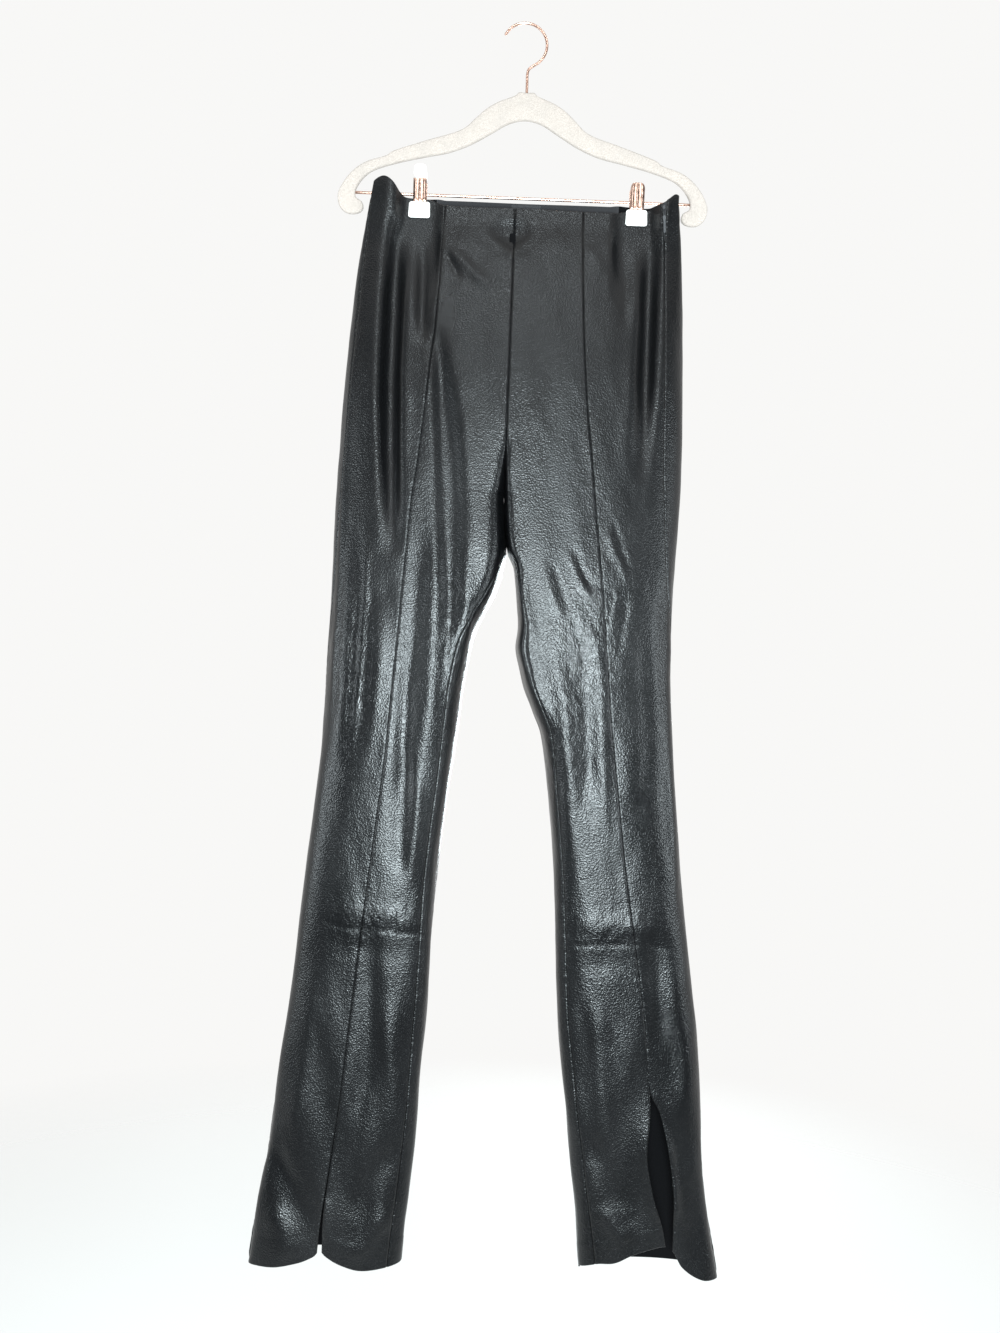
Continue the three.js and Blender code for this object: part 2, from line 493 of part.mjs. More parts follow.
// Point on the inside of the back at x, so far beneath the outer face.
function backInside(x, z, beneath) {
  const half = x < MIDDLE ? HALVES.right : HALVES.left;
  const { points } = section(half, z);
  for (let k = points.length - 1; k > SAMPLES; k -= 1) {
    const a = points[k];
    const b = points[k - 1];
    if ((b.x - x) * half.side >= 0) {
      const p = a.clone().lerp(b, clamp01((x - a.x) / (b.x - a.x)));
      return new THREE.Vector3(x, p.y - beneath, p.z);
    }
  }
  return points[SAMPLES].clone();
}
function insideWall(x0, x1, columns, levels, beneath, thick, lower) {
  const grid = (depth) => levels.map((z) => Array.from({ length: columns + 1 }, (_, c) => {
    const p = backInside(mix(x0, x1, c / columns), z, depth);
    p.z -= lower;
    return p;
  }));
  return wall(grid(beneath), grid(beneath + thick));
}

// Facing: a strip sewn inside the back waist, seen over the lower front edge.
const FACING_THICK = 1;
const FACING_UNDER = CLOTH + 2 * SEAM_GAP; // depth of its near face beneath the leather's outer face
const FACING_ENDS = [-97, 109]; // x of its ends, between the clips
const FACING_COLUMNS = 14;
const FACING_LEVELS = [WAIST_TOP, -208, -218, -232];
const FACING_LOWER = 0.6; // its top edge lies this far below the waist's
add('back_waist_facing',
  insideWall(...FACING_ENDS, FACING_COLUMNS, FACING_LEVELS, FACING_UNDER, FACING_THICK, FACING_LOWER), FACING);
// Label: a small blank woven tab on the facing.
const LABEL_THICK = 0.5;
const LABEL_UNDER = FACING_UNDER + FACING_THICK + SEAM_GAP;
const LABEL_ENDS = [-12, 21];
const LABEL_COLUMNS = 4;
const LABEL_LEVELS = [-201.5, -207, -213];
add('blank_label',
  insideWall(...LABEL_ENDS, LABEL_COLUMNS, LABEL_LEVELS, LABEL_UNDER, LABEL_THICK, FACING_LOWER), LABEL);

// Zip: its tape behind the left side seam, a slider and a slim pull tab that swings on the slider.
const TAPE_THICK = 0.7;
const TAPE_UNDER = CLOTH + 0.4; // depth of the tape's outer face beneath the leather's outer face
const TAPE_FOOT = -380;
const tapeLevels = LEVELS.filter((z) => z < WAIST_TOP && z > TAPE_FOOT);
// across the tape: the last two columns of the side panel, then the first two of the back
const tapeAcross = [
  [PANELS.side, 1 - 1 / COLUMNS.side], [PANELS.side, 1], [PANELS.back, 0], [PANELS.back, 1 / COLUMNS.back],
];
const tapeGrid = (depth) => tapeLevels.map((z) => tapeAcross.map(([range, u]) => {
  const { point, normal } = panelPoint(HALVES.left, range, z, u);
  return point.addScaledVector(normal, -depth);
}));
add('zip_tape', wall(tapeGrid(TAPE_UNDER), tapeGrid(TAPE_UNDER + TAPE_THICK)), FACING);

// Frame on the left side seam at a nominal height: x across the seam, y into the cloth, z up along it.
const SEAM_STEP = 2;
const seamLine = (half, curve, z) => {
  const seam = crossing(half, curve, lookup(half.outline, 'z', z, 'side'));
  return [seam, seam];
};
function seamFrame(z) {
  const { point, normal } = panelPoint(HALVES.left, seamLine, z, 0);
  const above = panelPoint(HALVES.left, seamLine, z + SEAM_STEP, 0).point;
  const up = above.sub(panelPoint(HALVES.left, seamLine, z - SEAM_STEP, 0).point);
  const into = normal.clone().negate();
  const across = into.clone().cross(up).normalize();
  return { point, basis: new THREE.Matrix4().makeBasis(across, into, across.clone().cross(into)) };
}
function seat(mesh, frame) {
  mesh.position.copy(frame.point);
  mesh.quaternion.setFromRotationMatrix(frame.basis);
}
const SLIDER_Z = -219;
const SLIDER_HALF = 1.8; // half its width at the shoulders
const SLIDER_FOOT_HALF = 1.3;
const SLIDER_FOOT = -3.2; // from the slider's middle
const SLIDER_SHOULDER = 1;
const SLIDER_THICK = 1.9;
const zipFrame = seamFrame(SLIDER_Z);
// The slider bridges the slot; its outline narrows to the foot, where the bail holds the tab.
const sliderShape = new THREE.Shape();
sliderShape.moveTo(-SLIDER_FOOT_HALF, SLIDER_FOOT);
sliderShape.lineTo(SLIDER_FOOT_HALF, SLIDER_FOOT);
sliderShape.lineTo(SLIDER_HALF, SLIDER_SHOULDER);
sliderShape.absarc(0, SLIDER_SHOULDER, SLIDER_HALF, 0, Math.PI, false);
sliderShape.closePath();
const sliderGeometry = new THREE.ExtrudeGeometry(sliderShape,
  { depth: SLIDER_THICK, bevelEnabled: false, curveSegments: 6 });
sliderGeometry.applyMatrix4(new THREE.Matrix4().set(
  1, 0, 0, 0, 0, 0, -1, TAPE_UNDER - SEAM_GAP, 0, 1, 0, 0, 0, 0, 0, 1));
seat(add('zip_slider', sliderGeometry, SILVER), zipFrame);
// The pull tab hangs from the slider's foot, clear in front of the closed seam. It swings about a line
// across the seam through the centre of its round top, PULL_PIVOT in the slider's frame.
const PULL_LENGTH = 13;
const PULL_WIDTH = 2.4;
const PULL_CORNER = 1.1;
const PULL_THICK = 0.8;
const PULL_PIVOT = new THREE.Vector3(0, -1.5, -4.6);
const pullGeometry = roundedPlate(PULL_WIDTH, PULL_LENGTH, PULL_CORNER, PULL_THICK);
pullGeometry.translate(0, PULL_PIVOT.y - PULL_THICK / 2, PULL_PIVOT.z + PULL_CORNER - PULL_LENGTH / 2);
seat(add('zip_pull', pullGeometry, SILVER), zipFrame);
// A small flat hook closes the waist above the slider.
const WAIST_HOOK = { z: -207, width: 3, height: 4, corner: 1, thick: 0.8 };
const waistHook = roundedPlate(WAIST_HOOK.width, WAIST_HOOK.height, WAIST_HOOK.corner, WAIST_HOOK.thick);
waistHook.translate(0, TAPE_UNDER - WAIST_HOOK.thick, 0);
seat(add('waist_hook', waistHook, SILVER), seamFrame(WAIST_HOOK.z));

// ---- the hanger ----
// Flocked body: one flat moulding, mirrored about the neck, with a curl at the end of each arm.
// ARM_OUTLINE goes out along the top of an arm, round its curl and back underneath, as [x, z].
const ARM_OUTLINE = [
  [9, -78], [12, -81], [31, -89], [44, -97], [55, -107], [70, -121], [112, -136], [150, -150],
  [155, -154], [178, -162], [192, -172], [203, -186], [209, -201], [206, -214], [197, -221],
  [184, -220], [179.5, -215], [181, -208], [188, -203], [189, -196], [184, -185], [172, -173],
  [146, -163], [110, -154], [84, -148], [60, -138], [38, -125], [18, -113],
];
const NECK_TOP = -78;
const ARCH_TOP = -109;
const bodyShape = new THREE.Shape([
  new THREE.Vector2(0, NECK_TOP),
  ...ARM_OUTLINE.map(([x, z]) => new THREE.Vector2(x, z)),
  new THREE.Vector2(0, ARCH_TOP),
  ...ARM_OUTLINE.slice().reverse().map(([x, z]) => new THREE.Vector2(-x, z)),
]);
const bodyGeometry = new THREE.ExtrudeGeometry(bodyShape, { depth: ARM_THICK, bevelEnabled: false });
bodyGeometry.applyMatrix4(new THREE.Matrix4().set(1, 0, 0, 0, 0, 0, -1, ARM_THICK / 2, 0, 1, 0, 0, 0, 0, 0, 1));
add('hanger_body', bodyGeometry, FLOCK);

// Hook: a straight neck, a short S bend to the right and a round hook open to the left.
const hookCentre = [-HUNG_OFFSET, -HOOK_RADIUS + HOOK_WIRE];
const HOOK_START = -48; // degrees round the circle, from +X
const HOOK_END = 152;
const HOOK_ARC_POINTS = 10;
const hookPoints = [[0, NECK_TOP + SEAM_GAP], [0, -66], [0, -56], [1.6, -50.5]]; // the neck and its bend
for (let k = 0; k <= HOOK_ARC_POINTS; k += 1) {
  const angle = THREE.MathUtils.degToRad(mix(HOOK_START, HOOK_END, k / HOOK_ARC_POINTS));
  hookPoints.push([hookCentre[0] + HOOK_RADIUS * Math.cos(angle), hookCentre[1] + HOOK_RADIUS * Math.sin(angle)]);
}
const hookCurve = new THREE.CatmullRomCurve3(hookPoints.map(([x, z]) => new THREE.Vector3(x, 0, z)));
const wireSection = new THREE.Shape();
wireSection.absarc(0, 0, HOOK_WIRE, 0, 2 * Math.PI, false);
add('hanger_hook', new THREE.ExtrudeGeometry(wireSection,
  { steps: 44, extrudePath: hookCurve, bevelEnabled: false, curveSegments: 5 }), ROSE_GOLD);

// Bar: a straight rod between the feet of the curls.
const BAR_HALF = 188.4; // its ends sit in the curls
const barGeometry = new THREE.CylinderGeometry(BAR_RADIUS, BAR_RADIUS, 2 * BAR_HALF, 14);
const bar = add('hanger_bar', barGeometry, ROSE_GOLD);
bar.rotation.z = Math.PI / 2;
bar.position.z = BAR_Z;

// Clips: a pair of pressed plates on a spring that straddles the bar, with rubber pads for jaws.
const PLATE = 1;
const PLATE_WIDTH = 16;
const PLATE_KNEE = -202; // a plate stands straight up to here, then leans out
const PLATE_KNEE_OUT = 0.3;
const HANDLE_OUT = 1.2; // further out than its foot, at the bar
const HANDLE_LEAN = 0.2; // outwards for each millimetre up
const HANDLE_TOP = { right: -181, left: -177 };
const PAD_THICK = 3;
const PAD_CORNER = 3;
const CAP_TOP = -166;
const CAP_WIDTH = 14;
const CAP_CORNER = 5;
const CAP_THICK = 2.4;
const SPRING_RADIUS = 2.35; // of the bend over the bar
const SPRING_FOOT = [2.7, -203.5];
const SPRING_SHOULDER = [2.7, -200];
const SPRING_THICK = 0.6;
const SPRING_WIDTH = 9;
const SPRING_ARC = 8; // steps of the bend
for (const [name, x] of [['right', CLIP_RIGHT_X], ['left', CLIP_LEFT_X]]) {
  const clip = new THREE.Group();
  clip.position.x = x;
  hung.add(clip);
  const part = (label, geometry, look) => {
    const mesh = new THREE.Mesh(geometry, finish(...look));
    mesh.name = `clip_${name}_${label}`;
    clip.add(mesh);
  };
  for (const [label, sign] of [['front', -1], ['back', 1]]) {
    const foot = JAW_FACE + PAD_THICK / 2;
    const top = HANDLE_TOP[name];
    const lean = (z) => foot + HANDLE_OUT + (z - BAR_Z) * HANDLE_LEAN;
    const line = [
      [sign * foot, JAW_TOP + SEAM_GAP],
      [sign * (foot + PLATE_KNEE_OUT), PLATE_KNEE],
      [sign * lean(BAR_Z), BAR_Z],
      [sign * lean(top), top],
    ];
    part(`${label}_plate`, bentPlate(line, PLATE, PLATE_WIDTH), ROSE_GOLD);
    const pad = roundedPlate(JAW_WIDTH, JAW_TOP - JAW_BOTTOM, PAD_CORNER, PAD_THICK);
    pad.translate(0, sign < 0 ? -JAW_FACE - PAD_THICK : JAW_FACE, (JAW_TOP + JAW_BOTTOM) / 2);
    part(`${label}_pad`, pad, RUBBER);
    if (name === 'right') {
      const cap = roundedPlate(CAP_WIDTH, CAP_TOP - top - SEAM_GAP, CAP_CORNER, CAP_THICK);
      cap.rotateX(-sign * Math.atan(HANDLE_LEAN));
      cap.translate(0, sign * lean((top + CAP_TOP) / 2) - CAP_THICK / 2, (top + CAP_TOP + SEAM_GAP) / 2);
      part(`${label}_cap`, cap, RUBBER);
    }
  }
  const arc = Array.from({ length: SPRING_ARC + 1 }, (_, k) => {
    const angle = Math.PI * (1 - k / SPRING_ARC);
    return [SPRING_RADIUS * Math.cos(angle), BAR_Z + SPRING_RADIUS * Math.sin(angle)];
  });
  const leg = [SPRING_FOOT, SPRING_SHOULDER];
  const spring = [...leg.map(([y, z]) => [-y, z]), ...arc, ...leg.slice().reverse()];
  part('spring', bentPlate(spring, SPRING_THICK, SPRING_WIDTH), SILVER);
}

export default trousers;
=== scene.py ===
"""Looks of leather trousers hung by the waist from a flocked clip hanger. Metres, the part's own frame."""

import bpy
import numpy as np
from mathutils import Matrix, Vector


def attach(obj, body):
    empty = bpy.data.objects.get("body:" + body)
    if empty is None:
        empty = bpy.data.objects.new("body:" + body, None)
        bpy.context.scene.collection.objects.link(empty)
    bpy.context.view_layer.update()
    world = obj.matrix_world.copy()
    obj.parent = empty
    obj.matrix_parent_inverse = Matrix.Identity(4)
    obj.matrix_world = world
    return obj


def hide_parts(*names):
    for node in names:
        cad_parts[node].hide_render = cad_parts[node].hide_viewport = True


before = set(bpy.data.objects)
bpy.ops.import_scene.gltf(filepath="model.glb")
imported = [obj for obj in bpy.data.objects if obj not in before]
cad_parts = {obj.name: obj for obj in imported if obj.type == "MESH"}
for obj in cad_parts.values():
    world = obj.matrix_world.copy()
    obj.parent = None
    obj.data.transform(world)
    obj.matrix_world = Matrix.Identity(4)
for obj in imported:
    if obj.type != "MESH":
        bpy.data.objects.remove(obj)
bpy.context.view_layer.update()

# ---- leather panels ----
# Six pieces of black coated leather cloth, cut long and narrow: on each leg a front centre panel, a front
# side panel and a back. They are joined edge to edge in plain seams, which show as thin sunken grooves,
# and the front seam of each leg is left open near the hem.

MM = 0.001
HUNG_OFFSET = 4.0  # mm; the trousers hang this far along +X from the hook
CLOTH = 1.2
SEAM_GAP = 0.3
MIDDLE = -8.0
WAIST_TOP, CROTCH, HEM = -200.0, -535.0, -1400.0
FRONT_CURVE_TOP, BACK_CURVE_TOP = -455.0, -425.0
CLIP_RIGHT_X, CLIP_LEFT_X = -116.0, 129.0
PINCHED, PINCH_HALF = 1.6, 25.0

# columns: z, silhouette x, innermost x, the front seam's centre and side edges, the side seam
RIGHT_OUTLINE = np.array([
    (-200, -173, MIDDLE, -87, -87, -170), (-260, -179.5, MIDDLE, -89, -89, -174),
    (-350, -189, MIDDLE, -91, -91, -181), (-430, -193, MIDDLE, -98, -98, -184.5),
    (-500, -196, MIDDLE, -104, -104, -187), (-535, -197, MIDDLE, -108, -108, -189),
    (-570, -198, -5.7, -111, -111, -191), (-598, -198.5, -3, -112.5, -112.5, -192.5),
    (-612, -198.5, -5, -113.5, -113.5, -193), (-630, -198.5, -9, -114.5, -114.5, -194),
    (-650, -198.5, -16, -116, -116, -195), (-675, -198.5, -28, -117, -117, -196),
    (-700, -199, -38, -118.5, -118.5, -197.5), (-745, -200, -46, -121.5, -121.5, -199.5),
    (-790, -201.5, -50.5, -124.5, -124.5, -201.5), (-840, -204, -55, -128.5, -128.5, -204),
    (-965, -215.5, -67, -141, -141, -215.5), (-1110, -227.5, -73, -155, -155, -227.5),
    (-1200, -238, -77, -163, -163, -238), (-1320, -252, -84, -176, -177, -252),
    (-1360, -258, -88, -178.5, -181, -258), (-1400, -265, -91, -179, -184, -265)])
LEFT_OUTLINE = np.array([
    (-200, 179, MIDDLE, 69, 69, 158), (-260, 181.5, MIDDLE, 69.5, 69.5, 161.5),
    (-350, 187, MIDDLE, 73, 73, 164.5), (-430, 189.5, MIDDLE, 79, 79, 166.5),
    (-500, 190.5, MIDDLE, 87.5, 87.5, 168.5), (-535, 190.5, MIDDLE, 91.5, 91.5, 170.5),
    (-570, 189.5, -5.5, 95.5, 95.5, 172.5), (-590, 188.5, -3, 98, 98, 174),
    (-600, 188, -0.5, 99, 99, 174.5), (-612, 187.5, 6, 100.5, 100.5, 175.5),
    (-631, 186, 8.8, 103, 103, 177), (-659, 184, 11.3, 106, 106, 180.5),
    (-682, 183.5, 13, 108.5, 108.5, 182.5), (-705, 184, 11.5, 111, 111, 183.5),
    (-728, 184.5, 16.6, 113.5, 113.5, 184.5), (-750, 186, 22.5, 115.5, 115.5, 186),
    (-775, 188, 33, 118, 118, 188), (-800, 190, 43, 121, 121, 190),
    (-865, 196.5, 53.5, 129.5, 129.5, 196.5), (-965, 208.5, 64.5, 144, 144, 208.5),
    (-1110, 229, 73.5, 169, 169, 229), (-1190, 237, 83, 178.5, 178.5, 237),
    (-1215, 239, 86, 180, 191, 239), (-1262, 243, 92, 178, 203, 243),
    (-1300, 247.5, 97, 185, 209, 247.5), (-1345, 254, 103, 194, 211, 254),
    (-1400, 265.5, 109, 204, 212, 265.5)])
# columns: z, furthest front, furthest back, y of the inseam, share that rolls round inside at the back,
# squareness of the outer side, share that rolls round inside at the front
DEPTHS = np.array([
    (-200, 6, 9, 12, 0.22, 2.4, 0.2), (-226, 10, 14, 12, 0.22, 2.4, 0.2),
    (-260, 19, 27, 12, 0.22, 2.4, 0.2), (-300, 29, 41, 12, 0.22, 2.4, 0.2),
    (-350, 38, 54, 12, 0.22, 2.4, 0.2), (-400, 44, 63, 12, 0.22, 2.4, 0.2),
    (-450, 47, 68, 12, 0.22, 2.4, 0.1), (-500, 49, 68, 12, 0.24, 2.4, 0.09),
    (-535, 50, 67, 12, 0.26, 2.45, 0.11), (-600, 52, 63, 12, 0.34, 2.6, 0.16),
    (-700, 52, 58, 4, 0.45, 2.9, 0.2), (-840, 48, 51, -5, 0.5, 3.1, 0.26),
    (-1000, 42, 44, -9, 0.5, 3.2, 0.36), (-1150, 35, 37, -9, 0.5, 3.2, 0.42),
    (-1300, 28, 30, -7, 0.5, 3.2, 0.46), (-1400, 24, 26, -6, 0.5, 3.2, 0.48)])
FRONT_ROLL_POWER, BACK_ROLL_POWER = 2.8, 2.2
INNER_CROWD = 1.6
# The inner thighs press together from the crotch down to TOUCH_END, each PRESSED over the middle. This sets
# in over TOUCH_IN and eases over TOUCH_OUT.
TOUCH_END, PRESSED, TOUCH_IN, TOUCH_OUT = -597.0, 0.6, 26.0, 14.0
# between the front curve and CRISP_FOOT the front turns in more sharply, coming and going over these heights
CRISP_FOOT, CRISP_IN, CRISP_OUT = -860.0, 60.0, 150.0
# height of the waist edge over x, across the front and the back
EAR_LEFT = [(-174, -188), (-168, -183), (-160, -182), (-148, -188), (-136, -199), (-128, -201.5)]
FRONT_WAIST = np.array(EAR_LEFT + [
    (-104, -203), (-86, -209.5), (0, -210), (100, -211), (117, -208), (141, -206), (153, -201),
    (164, -196), (175, -189), (179, -190)])
BACK_WAIST = np.array(EAR_LEFT + [
    (-104, -202), (-86, -200), (0, -200), (100, -200), (117, -202), (141, -203), (153, -200),
    (164, -195), (175, -189), (179, -190)])
WAIST_FADE, HEM_FADE, BACK_HEM_RISE = 60.0, 110.0, 2.0
EAR_LEAN, EAR_POWER, EAR_FORWARD, EAR_START, EAR_BLEND, EAR_FOOT = 0.35, 4, 9.5, 15.0, 14.0, -262.0
PINCH_FOOT, PINCH_FULL, PINCH_POWER = -330.0, -226.0, 8
# height of each leg's front hem over x
RIGHT_HEM = np.array([
    (-266, -1407), (-232, -1405), (-206, -1399), (-188, -1391), (-181, -1385), (-174, -1390),
    (-158, -1398), (-139, -1404), (-119, -1403), (-91, -1397)])
LEFT_HEM = np.array([
    (109, -1394), (127, -1388), (146, -1385), (165, -1376), (187, -1368), (204, -1365), (212, -1370),
    (223, -1388), (245, -1402), (266, -1404)])
# main folds: face (-1 front, 1 back), top z, end z, x at top, middle and end, half width, depth, peak
MAIN_FOLDS = [
    (-1, -228, -615, -137, -140, -124, 11, 15, 0.3), (-1, -232, -375, -112, -107, -104, 9, 6, 0.35),
    (-1, -350, -700, -91, -65, -62, 12, 6, 0.45), (-1, -240, -520, 145, 144, 141, 11, 12, 0.4),
    (-1, -236, -350, 114, 118, 120, 9, 4, 0.4), (-1, -212, -272, -12, -11, -10, 26, 4, 0.5),
    (-1, -600, -960, -100, -106, -112, 12, 4, 0.5), (1, -226, -520, -118, -124, -130, 15, 14, 0.35),
    (1, -226, -540, 130, 127, 120, 15, 13, 0.35), (1, -470, -800, -95, -104, -118, 16, 6, 0.4),
    (1, -480, -830, 88, 100, 122, 16, 6, 0.45), (-1, -170, -290, -152, -156, -160, 15, -5, 0.3),
    (-1, -175, -290, 160, 163, 166, 13, -3, 0.3)]
FOLD_BANK, FOLD_WIDTH, FOLD_EDGE = 0.6, 0.8, 1.4


def soft(t):
    """Smooth step from 0 to 1."""
    t = np.clip(t, 0, 1)
    return t * t * (3 - 2 * t)


def smooth(points, at, column=1):
    """Value of one column at a key: cubic pieces through the rows, with the neighbouring rows' slopes."""
    rows = points if points[0, 0] < points[-1, 0] else points[::-1]
    key, value = rows[:, 0], rows[:, column]
    low = np.maximum(np.arange(len(key)) - 1, 0)
    high = np.minimum(np.arange(len(key)) + 1, len(key) - 1)
    slope = (value[high] - value[low]) / (key[high] - key[low])
    i = np.clip(np.searchsorted(key, at, side="right") - 1, 0, len(key) - 2)
    span = key[i + 1] - key[i]
    t = np.clip((at - key[i]) / span, 0, 1)
    left = value[i] * (1 + 2 * t) + slope[i] * span * t
    right = value[i + 1] * (3 - 2 * t) - slope[i + 1] * span * (1 - t)
    return left * (1 - t) ** 2 + right * t * t


def openness(z, top):
    """How open a section is at the centre seam: 1 above the curve, 0 at the crotch, an ellipse between."""
    share = np.clip((top - z) / (top - CROTCH), 0, 1)
    return np.sqrt(1 - share ** 2)


def main_push(face, x, z):
    """Sum of the main folds: each a trough with low banks that dies away along its length."""
    push = np.zeros(np.broadcast(x, z).shape)
    for side, top, end, a, b, c, half, depth, peak in MAIN_FOLDS:
        if side != face:
            continue
        t = np.clip((z - top) / (end - top), 1e-9, 1)
        line = a * (1 - t) * (1 - 2 * t) + 4 * b * t * (1 - t) + c * t * (2 * t - 1)
        q = ((x - line) / half) ** 2
        along = np.sin(np.pi * t ** (np.log(0.5) / np.log(peak)))
        push += depth * along * (1 - FOLD_BANK * q) * np.exp(-FOLD_WIDTH * q)
    return push


def pinch(x, z):
    """How firmly the clips hold the cloth shut, 0 to 1."""
    hold = soft((z - PINCH_FOOT) / (PINCH_FULL - PINCH_FOOT))
    sides = [np.exp(-(((x - clip) / PINCH_HALF) ** PINCH_POWER)) for clip in (CLIP_RIGHT_X, CLIP_LEFT_X)]
    return hold * np.maximum(*sides)


SAMPLES = 260
# side: which way is outward; crisp: how much more sharply the front turns in
HALVES = {
    "right": {"side": -1, "outline": RIGHT_OUTLINE, "hem": RIGHT_HEM, "clip": CLIP_RIGHT_X, "crisp": 0.25},
    "left": {"side": 1, "outline": LEFT_OUTLINE, "hem": LEFT_HEM, "clip": CLIP_LEFT_X, "crisp": 0.72},
}


def section(half, levels):
    """Sections of one half at nominal heights: a curve from the centre front or inseam round the outside
    to the centre back. The depth falls away outside as 1 - s^n and rolls round to the inseam inside."""
    z = levels[:, None]
    outer = smooth(half["outline"], z, 1)
    inner = np.where(z >= CROTCH, MIDDLE, smooth(half["outline"], z, 2)) + half["side"] * SEAM_GAP / 2
    touching = soft((CROTCH - z) / TOUCH_IN) * soft((z - TOUCH_END) / TOUCH_OUT)
    inner = inner - half["side"] * PRESSED * touching
    inseam, square = smooth(DEPTHS, z, 3), smooth(DEPTHS, z, 5)
    rise = soft((z - WAIST_TOP + WAIST_FADE) / WAIST_FADE)
    drop = soft((HEM + HEM_FADE - z) / HEM_FADE)
    sheets = []
    for face in (-1, 1):
        depth = face * smooth(DEPTHS, z, 1 if face < 0 else 2)
        roll = smooth(DEPTHS, z, 6 if face < 0 else 4)
        if face < 0:
            crisp = soft((FRONT_CURVE_TOP - z) / CRISP_IN) * soft((z - CRISP_FOOT) / CRISP_OUT)
            roll = roll * (1 - half["crisp"] * crisp)
        power = FRONT_ROLL_POWER if face < 0 else BACK_ROLL_POWER
        is_open = openness(z, FRONT_CURVE_TOP if face < 0 else BACK_CURVE_TOP)
        turn = np.linspace(0, 1, SAMPLES + 1)[None, :]
        q = (turn if face < 0 else 1 - turn) ** INNER_CROWD
        s = (1 - np.cos(np.pi * q)) / 2 * (1 - is_open) + np.sin(np.pi * q / 2) * is_open
        outside = (1 - s ** square) ** (1 / square)
        inside = (1 - (1 - np.minimum(1, s / roll)) ** power) ** (1 / power)
        base = inseam * (1 - s)
        x = inner + (outer - inner) * s
        y = base + (depth * outside - base) * (inside * (1 - is_open) + is_open)
        y = y - face * main_push(face, x, z) * np.minimum(1, np.abs(y / depth) * FOLD_EDGE)
        held = pinch(x, z)
        y = y * (1 - held) + face * PINCHED * held
        beyond = soft((half["side"] * (x - half["clip"]) - EAR_START) / EAR_BLEND)
        y = y - EAR_FORWARD * beyond * soft((z - EAR_FOOT) / (WAIST_TOP - 2 - EAR_FOOT))
        waist = smooth(FRONT_WAIST if face < 0 else BACK_WAIST, x) - WAIST_TOP
        hem = smooth(half["hem"], x) - HEM if face < 0 else BACK_HEM_RISE
        x = x - half["side"] * EAR_LEAN * np.maximum(0, waist) * rise * s ** EAR_POWER
        height = z + waist * rise + hem * drop
        sheets.append(np.stack([x, y, height], -1)[:, 0 if face < 0 else 1:])
    points = np.concatenate(sheets, 1)
    steps = np.hypot(*np.moveaxis(np.diff(points[..., :2], axis=1), -1, 0))
    reach = np.concatenate([np.zeros((len(levels), 1)), np.cumsum(steps, 1)], 1)
    return points, reach


def crossing(half, points, reach, target):
    """Distance along each section at which its front crosses x = target, or reaches the silhouette."""
    x = points[:, : SAMPLES + 1, 0] * half["side"]
    goal = (target * half["side"])[:, None]
    over = x[:, 1:] >= goal
    k = np.where(over.any(1), over.argmax(1), SAMPLES - 1)
    row = np.arange(len(x))
    step = np.maximum(1e-9, x[row, k + 1] - x[row, k])
    share = np.clip((goal[:, 0] - x[row, k]) / step, 0, 1)
    return reach[row, k] * (1 - share) + reach[row, k + 1] * share


# how far each inseam is turned to the front, in from the leg's inner edge, over z
TURNED = {
    "right": np.array([(-535, 0), (-600, 3), (-674, 12), (-833, 13), (-1159, 12), (-1400, 15)], float),
    "left": np.array([(-535, 0), (-620, 3), (-707, 12), (-873, 9), (-1096, 11), (-1400, 17)], float)}
TURN_START, TURN_IN = 12.0, 80.0  # the turn begins this far under the crotch and sets in over this height
# the zip lets the left side seam gape at the top
ZIP_STOP, ZIP_MOUTH = -243.0, 8.0
LEVELS = np.unique(np.concatenate([
    [-200, -200.35, -200.8, -201.4, -202.2],
    np.linspace(-203.2, BACK_CURVE_TOP, 84),
    BACK_CURVE_TOP + (CROTCH - BACK_CURVE_TOP) * np.sin(np.linspace(0, np.pi / 2, 46)),
    np.linspace(CROTCH - 1.5, HEM + 3.2, 296),
    [HEM + 2.2, HEM + 1.4, HEM + 0.8, HEM + 0.35, HEM]]))[::-1]
SECTIONS = {name: section(half, LEVELS) for name, half in HALVES.items()}


def panel_ends(name, points, reach, panel):
    """Where a panel starts and ends along each section. Down the legs the back runs on past the inner edge
    to the turned inseam, where the front centre panel starts."""
    half = HALVES[name]
    turned = smooth(TURNED[name], LEVELS)
    inseam = crossing(half, points, reach, smooth(half["outline"], LEVELS, 2) + half["side"] * turned)
    inseam = np.where(LEVELS < CROTCH, inseam, 0) * soft((CROTCH - TURN_START - LEVELS) / TURN_IN)
    edge = {k: crossing(half, points, reach, smooth(half["outline"], LEVELS, k)) for k in (3, 4, 5)}
    gap = np.full(len(LEVELS), SEAM_GAP)
    if half["side"] > 0:
        gap = gap + ZIP_MOUTH * np.clip((LEVELS - ZIP_STOP) / (WAIST_TOP - ZIP_STOP), 0, 1)
    if panel == "front_centre":
        return inseam + SEAM_GAP / 2, edge[3] - SEAM_GAP / 2
    if panel == "front_side":
        return edge[4] + SEAM_GAP / 2, edge[5] - gap / 2
    return edge[5] + gap / 2, reach[:, -1] + inseam - SEAM_GAP / 2


